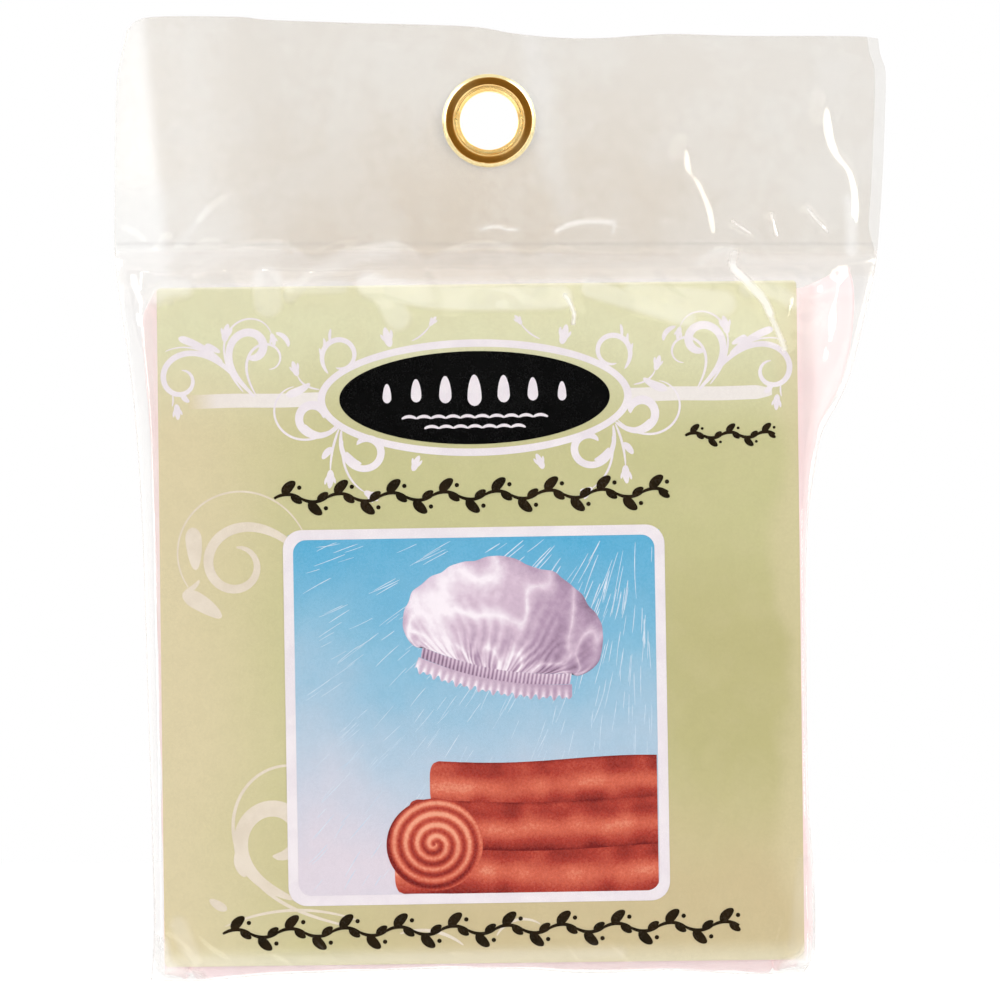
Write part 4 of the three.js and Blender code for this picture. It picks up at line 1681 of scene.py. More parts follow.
    def washer(self) -> Object:
        """Builds the dished washer behind the header.

        Returns:
            The washer, on the header.
        """
        radius = self.hole + self.flange - self.underlap
        bore = self.hole + self.wall + self.bore_clearance
        crest = self.film_face + self.washer_height
        front = self.film_face
        round_over = (radius - self.washer_height, front)
        inner = self.washer_height - self.washer_metal
        profile = [
            (bore, crest - self.washer_metal),
            (bore, crest),
            (bore + self.lip_reach, crest),
            *self.arc(round_over, (self.washer_height, self.washer_height), 85, 0, 10),
            *self.arc(round_over, (inner, inner), 0, 85, 8),
        ]
        made = self.turned("eyelet_washer_fine", profile, WASHER_BRASS, 0.02)
        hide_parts("eyelet_washer")
        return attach(made, "header")

    def build(self) -> list[Object]:
        """Builds both halves of the eyelet."""
        return [self.barrel(), self.washer()]


# The printed card


@dataclass(frozen=True)
class Flourish:
    """One stroke of the ornament: a ribbon that bends more and more, and swells on its way.

    Places and lengths are millimetres on the card, angles degrees.
    """

    at: tuple[float, float]
    heading: float
    length: float
    turn: float
    growth: float = 0.0
    width: float = 0.5
    swell: float = 0.5
    tip: float = 0.12

    def ribbon(self, steps: int = 44) -> tuple[Array, Array]:
        """Draws the stroke.

        Args:
            steps: how many pieces it is cut into.

        Returns:
            The points of its left and its right side.
        """
        share = np.linspace(0, 1, steps + 1)
        bend = np.radians(self.turn) * share ** (self.growth + 1)
        angle = np.radians(self.heading) + bend
        step = self.length / steps
        middle = (angle[1:] + angle[:-1]) / 2
        x = self.at[0] + np.concatenate([[0], np.cumsum(np.cos(middle))]) * step
        y = self.at[1] + np.concatenate([[0], np.cumsum(np.sin(middle))]) * step
        rise = np.clip(share / self.swell, 0, 1)
        fall = np.clip((1 - share) / (1 - self.swell), 0, 1)
        body = np.sqrt(np.sin(rise * np.pi / 2) * np.sin(fall * np.pi / 2) + 1e-9)
        half = (self.tip + (self.width - self.tip) * body) / 2
        side = np.stack([-np.sin(angle), np.cos(angle)], 1) * half[:, None]
        line = np.stack([x, y], 1)
        return line + side, line - side

    def end(self) -> tuple[tuple[float, float], float]:
        """Gives the place and the heading at the stroke's end.

        Returns:
            The place, and the heading in degrees.
        """
        left, right = self.ribbon()
        middle = (left[-1] + right[-1]) / 2
        return (float(middle[0]), float(middle[1])), self.heading + self.turn


def bud(at: tuple[float, float], heading: float, size: float = 1.0) -> list[Flourish]:
    """Draws a leaf bud: a full leaf with two short curled tips.

    Args:
        at: where its stem ends.
        heading: which way it points.
        size: its size, 1 for a leaf about 3 mm long.

    Returns:
        Its strokes.
    """
    turn = math.radians(heading)
    neck = (at[0] + 0.9 * size * math.cos(turn), at[1] + 0.9 * size * math.sin(turn))
    return [
        Flourish(at, heading - 4, 3.3 * size, 12, 0.0, 1.3 * size, 0.34, 0.05),
        Flourish(neck, heading + 46, 2.0 * size, -44, 0.4, 0.62 * size, 0.35, 0.05),
        Flourish(neck, heading - 50, 1.8 * size, 46, 0.4, 0.58 * size, 0.35, 0.05),
    ]


def stemmed(stem: Flourish, size: float = 1.0) -> list[Flourish]:
    """Draws a stem with a bud of the given size at its end."""
    at, heading = stem.end()
    return [stem, *bud(at, heading, size)]


# Half of the white ornament beside and under the cartouche. Places are outwards from the
# card's middle line and up from the stripe's; the other half is its mirror image.
HALF_ORNAMENT: tuple[Flourish, ...] = (
    Flourish((39.7, 0.6), 50, 33.0, -412, 1.5, 1.05, 0.55),
    Flourish((41.0, 1.9), 52, 17.4, -78, 1.0, 0.34, 0.4),
    Flourish((54.2, 1.4), -100, 2.2, 24, 0.0, 0.3, 0.5),
    *bud((53.6, -0.4), -98, 0.86),
    Flourish((51.2, 0.0), 20, 2.4, 70, 0.0, 1.0, 0.5, 0.05),
    Flourish((45.2, 7.0), 38, 9.0, -22, 0.5, 1.35, 0.86),
    Flourish((45.6, 8.7), 30, 3.0, -10, 0.0, 1.2, 0.8),
    *stemmed(Flourish((41.6, 1.6), 52, 9.8, 48, 0.6, 0.4, 0.4)),
    Flourish((39.6, 0.8), 44, 23.0, 345, 1.1, 1.5, 0.86),
    Flourish((35.6, 12.0), 196, 3.6, 80, 0.4, 0.9, 0.5),
    *stemmed(Flourish((41.0, 1.8), 46, 21.5, 208, 0.7, 0.36, 0.5), 0.7),
    Flourish((39.3, 0.9), 62, 18.5, 300, 0.9, 0.5, 0.4),
    *stemmed(Flourish((28.0, 1.8), 8, 4.8, 62, 0.5, 0.36, 0.5), 0.85),
    Flourish((26.4, 4.6), 52, 17.0, 330, 0.25, 0.95, 0.35),
    Flourish((27.6, 7.0), 96, 2.2, -30, 0.0, 0.5, 0.5, 0.05),
    Flourish((27.2, 8.8), 112, 2.2, -40, 0.0, 0.5, 0.5, 0.05),
    Flourish((26.0, 10.2), 84, 2.4, 20, 0.0, 0.55, 0.5, 0.05),
    Flourish((34.0, 0.9), 170, 4.8, -30, 0.0, 1.5, 0.3, 0.1),
    Flourish((24.6, -4.8), -38, 16.5, 318, 0.55, 1.55, 0.8),
    Flourish((24.9, -4.4), -44, 21.0, 214, 0.35, 0.42, 0.4),
    Flourish((27.4, -6.2), -6, 4.2, 84, 0.4, 1.15, 0.6, 0.05),
    *stemmed(Flourish((24.6, -5.2), -66, 7.6, -22, 0.0, 0.45, 0.4), 1.0),
    Flourish((25.9, -8.6), -36, 2.7, -26, 0.0, 1.2, 0.45, 0.05),
    Flourish((24.2, -5.4), -82, 20.0, -338, 0.6, 1.35, 0.8),
    Flourish((23.4, -9.4), -116, 3.6, -62, 0.4, 1.0, 0.5, 0.05),
    *stemmed(Flourish((24.0, -7.4), -84, 10.4, -64, 0.3, 0.42, 0.4), 0.9),
    *bud((15.2, 9.2), 72, 1.1),
    *stemmed(Flourish((11.4, 10.2), 158, 4.2, -34, 0.0, 0.3, 0.5), 0.62),
    *bud((11.6, -13.0), 112, 0.9),
)

# Faint tan scrolls on the card's left side, from the card's middle.
TAN_SCROLLS: tuple[Flourish, ...] = (
    Flourish((-31.5, 13.0), 138, 41.0, 405, 0.75, 1.8, 0.4, 0.3),
    Flourish((-31.5, 17.2), 118, 37.5, 186, 0.1, 0.34, 0.5, 0.2),
    Flourish((-50.6, 10.4), 92, 7.6, 3, 0.0, 2.9, 0.74, 0.1),
    Flourish((-53.0, 6.3), -26, 8.2, -14, 0.0, 3.0, 0.32, 0.1),
    Flourish((-52.6, 6.6), 12, 3.4, 50, 0.0, 0.9, 0.4, 0.1),
    Flourish((-34.0, -48.6), 158, 38.5, -352, 0.7, 2.9, 0.72, 0.3),
    Flourish((-24.9, -53.4), 165, 51.0, -204, 0.75, 0.62, 0.3, 0.25),
    Flourish((-42.6, -44.4), 128, 6.2, -84, 0.3, 1.7, 0.5, 0.1),
    Flourish((-46.4, -53.2), 24, 24.0, -44, 0.0, 0.5, 0.5, 0.15),
    Flourish((-46.0, -50.2), 158, 3.6, -20, 0.0, 1.6, 0.4, 0.1),
    Flourish((-29.0, -22.0), 246, 16.0, 28, 0.0, 0.5, 0.5, 0.15),
    Flourish((-30.6, -12.0), 262, 15.0, -16, 0.0, 0.4, 0.5, 0.15),
    Flourish((2.0, -55.6), 62, 9.0, -96, 0.0, 0.5, 0.4, 0.15),
    Flourish((-4.0, -57.2), 140, 12.0, 58, 0.0, 0.6, 0.4, 0.15),
)


@dataclass
class Print:
    """Flat inks on the card, each a thin closed slab a few hundredths of a millimetre proud."""

    pouch: Pouch
    skew: float = math.radians(0.25)
    ink: float = 0.012
    face: float = field(init=False)

    def __post_init__(self) -> None:
        """Reads the card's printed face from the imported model."""
        self.face = float(node_box("insert_card")[0][1])

    def on_card(self, flat: Array, lift: float | Array) -> Array:
        """Puts places of the print on the card's face.

        Args:
            flat: right and up of the card's middle, in millimetres.
            lift: how far the ink stands off the card.

        Returns:
            The points in the pack's frame.
        """
        tilt = self.pouch.card_tilt + self.skew
        cos, sin = math.cos(tilt), math.sin(tilt)
        x = self.pouch.card_middle[0] + flat[..., 0] * cos - flat[..., 1] * sin
        z = self.pouch.card_middle[1] + flat[..., 0] * sin + flat[..., 1] * cos
        return np.stack([x, self.face - lift + 0 * x, z], -1)

    def slab(self, flat: Array, quads: Array, lift: float) -> tuple[Array, Array]:
        """Makes a thin closed slab of ink.

        Args:
            flat: its places on the print.
            quads: its faces.
            lift: how far its face stands off the card.

        Returns:
            Points and faces.
        """
        points = self.on_card(flat, lift)
        corner = points[quads]
        facing = np.cross(corner[:, 2] - corner[:, 0], corner[:, 3] - corner[:, 1])[:, 1]
        quads = np.where((facing > 0)[:, None], quads[:, ::-1], quads)
        closed, faces = shell(points, quads, 0.0)
        half = len(closed) // 2
        closed[half:, 1] = self.face - max(lift - self.ink, 0.001)
        return closed, faces

    @staticmethod
    def layers(parts: Sequence[Shape]) -> list[int]:
        """Gives each shape the lowest layer that no earlier shape under its box has.

        Args:
            parts: places and faces of each shape.

        Returns:
            The layer of each shape.
        """
        boxes = np.array([[*flat.min(0), *flat.max(0)] for flat, _ in parts])
        found: list[int] = []
        for number, box in enumerate(boxes):
            meets = (boxes[:number, :2] <= box[2:]).all(1) & (boxes[:number, 2:] >= box[:2]).all(1)
            taken = {found[other] for other in np.flatnonzero(meets)}
            found.append(next(layer for layer in range(number + 1) if layer not in taken))
        return found

    def lay(
        self, name: str, parts: Sequence[Shape], finish: Finish, lift: float, step: float = 0.0006
    ) -> Object:
        """Lays several shapes of one ink.

        Args:
            name: the piece's name.
            parts: places and faces of each shape.
            finish: the ink.
            lift: how far the first shape stands off the card.
            step: how much further out each next layer lies.

        Returns:
            The piece, on the card.
        """
        points, faces, start = [], [], 0
        for layer, (flat, quads) in zip(self.layers(parts), parts):
            closed, closed_faces = self.slab(flat, quads, lift + layer * step)
            points.append(closed)
            faces.append(closed_faces + start)
            start += len(closed)
        made = piece(name, np.vstack(points), np.vstack(faces), finish, 30.0)
        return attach(made, "card")

    def strokes(
        self, name: str, flourishes: Sequence[Flourish], finish: Finish, lift: float,
        mirror: bool = False,
    ) -> Object:
        """Lays strokes of the ornament.

        Args:
            name: the piece's name.
            flourishes: the strokes.
            finish: the ink.
            lift: how far they stand off the card.
            mirror: whether a mirror image is laid too.

        Returns:
            The piece.
        """
        parts = []
        for flourish in flourishes:
            left, right = flourish.ribbon()
            flat = np.stack([left, right], 1).reshape(-1, 2)
            quads = grid_quads(len(left), 2)
            parts.append((flat, quads))
            if mirror:
                parts.append((flat * (-1, 1), quads))
        return self.lay(name, parts, finish, lift)


def oval(half_width: float, half_height: float, inner: float, steps: int = 160) -> Shape:
    """Draws an oval ring or, with no inner part, a filled oval.

    Args:
        half_width: half its width.
        half_height: half its height.
        inner: how wide the ring is, or 0 for a filled oval.
        steps: how many pieces its edge is cut into.

    Returns:
        Places and faces.
    """
    angle = np.linspace(0, 2 * np.pi, steps, endpoint=False)
    edge = np.stack([np.cos(angle), np.sin(angle)], 1)
    half = np.array([half_width, half_height])
    if inner:
        rings = [edge * half, edge * (half - inner)]
    else:
        rings = [edge * (half * share) for share in (1, 0.66, 0.33, 0.02)]
    flat = np.stack(rings, 1).reshape(-1, 2)
    rows = grid_quads(steps + 1, len(rings)) % (steps * len(rings))
    return flat, rows


def rounded_box(width: float, height: float, radius: float, steps: int = 10) -> Array:
    """Draws the outline of a box with round corners.

    Args:
        width: its width.
        height: its height.
        radius: its corners' radius.
        steps: how many pieces a corner is cut into.

    Returns:
        The outline's points, about its middle.
    """
    corners = []
    for quarter, (right, up) in enumerate(((1, 1), (-1, 1), (-1, -1), (1, -1))):
        angle = np.pi / 2 * (quarter + np.linspace(0, 1, steps + 1))
        centre = np.array([right * (width / 2 - radius), up * (height / 2 - radius)])
        corners.append(centre + radius * np.stack([np.cos(angle), np.sin(angle)], 1))
    return np.vstack(corners)


@dataclass
class CardPrint(Print):
    """Everything that is printed on the card: stripe, ornament, cartouche, rules and picture.

    Measures are millimetres from the card's middle, right and up.
    """

    stripe_height: float = 40.4
    stripe_width: float = 2.5
    cartouche: tuple[float, float] = (-0.4, 40.3)
    ring_half: tuple[float, float] = (28.0, 10.4)
    ring_width: float = 1.35
    panel_half: tuple[float, float] = (24.1, 8.3)
    upper_rule: tuple[float, float, float] = (-36.4, 33.8, 22.9)
    lower_rule: tuple[float, float, float] = (-46.8, 45.2, -54.5)
    picture_middle: tuple[float, float] = (-1.0, -16.3)
    picture_size: tuple[float, float] = (68.0, 67.0)
    picture_border: float = 1.8
    picture_corner: float = 3.4

    def stripe(self) -> Object:
        """Lays the white stripe across the card, broken by the cartouche.

        Returns:
            The stripe, on the card.
        """
        ring = self.ring_half[0] - 0.6
        grids = []
        for start, end in ((-51.4, self.cartouche[0] - ring), (self.cartouche[0] + ring, 52.6)):
            across = np.linspace(start, end, 60)
            sway = 0.06 * np.sin(across * 0.4)
            half = self.stripe_width / 2 * np.clip((53.2 - across) / 3.4, 0, 1) ** 0.5
            middle = self.stripe_height + sway
            edges = [np.stack([across, middle + way * half], 1) for way in (1, -1)]
            places = np.stack(edges, 1)
            tone = np.clip((across + 51.2) / 16.0, 0, 1)
            grids.append((places, np.stack([tone, tone], 1), False))
        return self.toned("print_stripe", grids, STRIPE_INK, 0.03)

    def ornament(self) -> Object:
        """Lays the white scrolls and buds on both sides of the cartouche.

        Returns:
            The scrolls, on the card.
        """
        moved = []
        for stroke in HALF_ORNAMENT:
            at = (stroke.at[0], stroke.at[1] + self.stripe_height)
            moved.append(replace(stroke, at=at))
        return self.strokes("print_scrolls", moved, WHITE_INK, 0.034, mirror=True)

    def tan_scrolls(self) -> Object:
        """Lays the faint scrolls on the card's left side and foot."""
        return self.strokes("print_faint_scrolls", TAN_SCROLLS, LEAF_INK, 0.026)

    def plaque(self) -> list[Object]:
        """Lays the cartouche: white ring, dark panel, and drops over two waves on it.

        Returns:
            The ring, the panel and its marks.
        """
        middle = np.array(self.cartouche)
        ring, ring_faces = oval(*self.ring_half, self.ring_width)
        panel, panel_faces = oval(*self.panel_half, 0)
        made = [self.lay("print_ring", [(ring + middle, ring_faces)], WHITE_INK, 0.05)]
        made.append(self.lay("print_panel", [(panel + middle, panel_faces)], BLACK_INK, 0.046))
        marks = []
        for number in range(-3, 4):
            size = 1.0 - 0.13 * abs(number)
            at = (middle[0] + number * 5.2, middle[1] + 4.1 - 0.16 * number**2)
            marks.append(Flourish(at, -90, 5.6 * size, 0, 0.0, 2.5 * size, 0.74, 0.06))
        for row, half in ((-3.6, 13.0), (-5.4, 9.0)):
            count = round(half / 1.3)
            for number in range(count):
                start = (middle[0] - half + number * 2 * half / count, middle[1] + row)
                marks.append(Flourish(start, 34, 2 * half / count * 1.06, -68, 0.0, 0.55, 0.5, 0.2))
        made.append(self.strokes("print_panel_marks", marks, WHITE_INK, 0.06))
        return made

    @staticmethod
    def vine(start: float, end: float, height: float, size: float) -> list[Flourish]:
        """Draws a vine: a winding stem with leaves by turns above and below it.

        Args:
            start: where it starts.
            end: where it ends.
            height: its middle line.
            size: how tall it is.

        Returns:
            Its strokes.
        """
        count = round((end - start) / (size * 0.92))
        pitch = (end - start) / count
        strokes = []
        for number in range(count):
            way = 1 if number % 2 == 0 else -1
            left = start + number * pitch
            crest = height + way * 0.13 * size
            leaf = (left + 0.34 * pitch, crest)
            small = (left + 0.66 * pitch, crest - way * 0.02 * size)
            berry = (left + 0.88 * pitch, height + way * 0.36 * size)
            strokes += [
                Flourish((left, height), 33 * way, pitch * 1.06, -66 * way, 0.0, 0.62, 0.5, 0.36),
                Flourish(leaf, 62 * way, 0.62 * size, -34 * way, 0.0, 0.34 * size, 0.42, 0.04),
                Flourish(small, -52 * way, 0.46 * size, 30 * way, 0.0, 0.24 * size, 0.42, 0.04),
                Flourish(berry, 0, 0.15 * size, 0, 0.0, 0.15 * size, 0.5, 0.1),
            ]
        return strokes

    def rules(self) -> Object:
        """Lays the two dark vines, and a short one beside the cartouche.

        Returns:
            The vines, on the card.
        """
        left, right, height = self.upper_rule
        strokes = self.vine(left, right, height, 5.2)
        left, right, height = self.lower_rule
        strokes += self.vine(left, right, height, 5.2)
        strokes += self.vine(37.0, 53.0, 32.9, 3.4)
        return self.strokes("print_vines", strokes, DARK_INK, 0.055)

    def picture_frame(self) -> Object:
        """Lays the picture's white border with its round corners.

        Returns:
            The border, on the card.
        """
        middle = np.array(self.picture_middle)
        width, height = self.picture_size
        border = self.picture_border
        outer = rounded_box(width, height, self.picture_corner)
        corner = self.picture_corner - border * 0.6
        inner = rounded_box(width - 2 * border, height - 2 * border, corner)
        flat = np.stack([outer, inner], 1).reshape(-1, 2) + middle
        faces = grid_quads(len(outer) + 1, 2) % (2 * len(outer))
        return self.lay("print_frame", [(flat, faces)], WHITE_INK, 0.075)

    def toned(
        self, name: str, grids: Sequence[tuple[Array, Array, bool]], finish: Finish, lift: float
    ) -> Object:
        """Lays shapes whose points have a tone each.

        Args:
            name: the piece's name.
            grids: places as a grid, their tones, and whether its rows are closed.
            finish: the ink.
            lift: how far they stand off the card.

        Returns:
            The piece.
        """
        parts, tones = [], []
        for places, tone, closed in grids:
            rows, columns = tone.shape
            quads = grid_quads(rows, columns, closed)
            parts.append((places.reshape(-1, 2), quads))
            tones += [tone.reshape(-1)] * 2
        made = self.lay(name, parts, finish, lift, 0.003)
        mark(made, "tone", np.concatenate(tones))
        return made

    def sky(self) -> Object:
        """Lays the picture's ground, blue at the top and lavender at its foot.

        Returns:
            The ground, on the card.
        """
        width, height = (side - self.picture_border for side in self.picture_size)
        across = np.linspace(-width / 2, width / 2, 60)
        up = np.linspace(height / 2, -height / 2, 60)
        x, z = np.meshgrid(across, up)
        noise = SoftNoise(71)
        tone = (height / 2 - z) / height + 0.1 * noise.at(x, z, 14.0) - 0.12 * x / width
        places = np.stack([x, z], -1) + np.array(self.picture_middle)
        return self.toned("print_sky", [(places, np.clip(tone, 0, 1), False)], SKY_INK, 0.035)

    def streaks(self) -> Object:
        """Lays the water: fine pale strokes that fan out from the upper right.

        Returns:
            The water, on the card.
        """
        draw = np.random.default_rng(404)
        width, height = self.picture_size
        border = self.picture_border + 0.4
        low = np.array(self.picture_middle) - np.array([width, height]) / 2 + border
        high = np.array(self.picture_middle) + np.array([width, height]) / 2 - border
        source = np.array([30.0, 31.0])
        strokes = []
        for _ in range(900):
            at = draw.uniform(low, high)
            away = at - source
            near = math.exp(-(np.hypot(*away) / 34.0) ** 2)
            if draw.uniform() > 0.3 + 0.7 * near:
                continue
            heading = math.degrees(math.atan2(away[1], away[0])) + draw.normal(0, 2.2)
            length = draw.uniform(2.0, 6.0) + 7.0 * near * draw.uniform()
            turn = math.radians(heading)
            last = at + length * np.array([math.cos(turn), math.sin(turn)])
            if (last < low).any() or (last > high).any():
                continue
            thick = draw.uniform(0.06, 0.13) + 0.2 * near * draw.uniform()
            bend = draw.normal(0, 5)
            strokes.append(Flourish(tuple(at), heading, length, bend, 0.0, thick, 0.35, 0.04))
        return self.strokes("print_water", strokes, STREAK_INK, 0.042)

    def printed_cap(self) -> Object:
        """Lays the picture's cap: a puffed crown in pleats over a gathered band.

        Returns:
            The cap, on the card.
        """
        tilt = math.radians(-11)
        middle = np.array(self.picture_middle) + (3.4, 7.4)
        half_width, crown_height, band_height, ruffle = 18.0, 21.0, 2.4, 2.3
        cos, sin = math.cos(tilt), math.sin(tilt)

        def placed(x: Array, z: Array) -> Array:
            """Tilts places of the cap and puts them on the picture."""
            return np.stack([x * cos - z * sin, x * sin + z * cos], -1) + middle

        noise = SoftNoise(93)
        share = np.linspace(0, 1, 240)
        out = np.linspace(0, 1, 80)[:, None]
        turn = np.pi * (1.13 - 1.26 * share)
        scallop = 1 + 0.012 * noise.at(share * 30, 0 * share, 1.0)
        scallop = scallop + 0.02 * noise.at(share * 11, 0 * share + 5, 1.0)
        rim_x = half_width * np.cos(turn) * scallop
        rim_z = crown_height * (0.3 + 0.68 * np.sin(turn)) * scallop
        foot_x = half_width * 0.74 * (2 * share - 1)
        foot_z = band_height - 1.6 * (1 - (2 * share - 1) ** 2)
        closing = (ease(share / 0.1) * ease((1 - share) / 0.1)) ** 0.6
        rim_x = foot_x + (rim_x - foot_x) * (0.15 + 0.85 * closing)
        rim_z = foot_z + (rim_z - foot_z) * closing
        belly = out**0.8
        x = foot_x + (rim_x - foot_x) * belly
        z = foot_z + (rim_z - foot_z) * out
        pleat = np.cos(share * 130 + 5.0 * noise.at(share * 16, out * 3, 1.0))
        fine = np.cos(share * 290 + 4.0 * noise.at(share * 30, out * 6, 1.0))
        fade = np.exp(-out * 3.2)
        crinkle = noise.creases(share * 22 + out * 3, out * 7, 1.7, 2.2)
        broad = noise.at(share * 8 + out, out * 3, 1.3)
        light = 0.66 - 0.3 * (x / half_width) * 0.8 + 0.14 * (z / crown_height) - 0.3 * out**7
        tone = light + 0.26 * fade * pleat + 0.14 * fade**2 * fine
        tone = tone + 0.44 * (crinkle - 0.42) + 0.16 * broad
        crown = (placed(x, z), tone, False)
        share = 2 * np.linspace(0, 1, 240) - 1
        out = np.linspace(0, 1, 8)[:, None]
        bow = -1.6 * (1 - share**2)
        x = half_width * 0.75 * share + 0 * out
        z = band_height + bow - band_height * 0.8 * out + 0 * share
        tone = 0.52 + 0.3 * np.cos(share * 120) - 0.2 * out + 0.1 * share
        band = (placed(x, z), tone, False)
        x = half_width * 0.77 * share * (1 + 0.03 * out)
        frill = ruffle * (1 + 0.14 * np.sin(share * 66) + 0.1 * np.sin(share * 41 + 1))
        z = 0.5 + bow - frill * out
        tone = 0.74 + 0.26 * np.cos(share * 66 + 1.2) * out - 0.25 * (1 - out) - 0.1 * share
        skirt = (placed(x, z), tone, False)
        return self.toned("print_cap", [skirt, crown, band], CAP_INK, 0.062)

    def towels(self) -> Object:
        """Lays the picture's towels: two folded ones with a rolled one in front of them.

        Returns:
            The towels, on the card.
        """
        right = self.picture_middle[0] + self.picture_size[0] / 2 - self.picture_border
        foot = self.picture_middle[1] - self.picture_size[1] / 2 + self.picture_border
        noise = SoftNoise(57)
        grids = []
        folds = ((4.2, 47.0, 8.2), (12.2, 44.5, 7.6), (19.6, 40.5, 7.2))
        for number, (height, width, thick) in enumerate(folds):
            across = np.linspace(-1, 0, 90)
            over = np.linspace(-1, 1, 26)[:, None]
            bulge = np.sqrt(np.clip(1 - over**4, 0, 1)) * 1.6
            x = right - 0.2 + across * (width - 1.6) - bulge * np.exp(6 * (-1 - across))
            sag = 0.5 * np.sin(across * 5 + number)
            z = foot + height + over * (thick / 2 + 0.5) + sag
            lay = np.cos(over * np.pi * 1.5 + 0.4)
            tone = 0.5 + 0.2 * lay + 0.16 * noise.at(across * 30, over * 3 + number * 9, 2.0)
            tone = tone - 0.5 * np.abs(over) ** 7 + 0.14 * np.exp(8 * (-1 - across))
            grids.append((np.stack([x + 0 * over, z + 0 * across], -1), tone, False))
        angle = np.linspace(0, 2 * np.pi, 120, endpoint=False)
        radius = np.linspace(1, 0.02, 40)[:, None]
        centre = np.array([right - 40.0, foot + 8.8])
        x = centre[0] + 8.6 * radius * np.cos(angle)
        z = centre[1] + 8.2 * radius * np.sin(angle)
        tone = 0.6 + 0.36 * np.cos(radius * 26 + angle) + 0.12 * np.sin(angle)
        tone = tone - 0.3 * radius**10
        grids.append((np.stack([x, z], -1), tone, True))
        return self.toned("print_towels", grids, TOWEL_INK, 0.06)

    def board(self) -> Object:
        """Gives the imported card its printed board.

        Returns:
            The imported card.
        """
        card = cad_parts["insert_card"]
        card.data.materials.clear()
        card.data.materials.append(dressed(BOARD))
        return card

    def build(self) -> list[Object]:
        """Dresses the board and lays every ink.

        Returns:
            The card and the inks on it.
        """
        return [
            self.board(),
            self.tan_scrolls(),
            self.stripe(),
            self.ornament(),
            *self.plaque(),
            self.rules(),
            self.sky(),
            self.streaks(),
            self.towels(),
            self.printed_cap(),
            self.picture_frame(),
        ]


# The folded cap


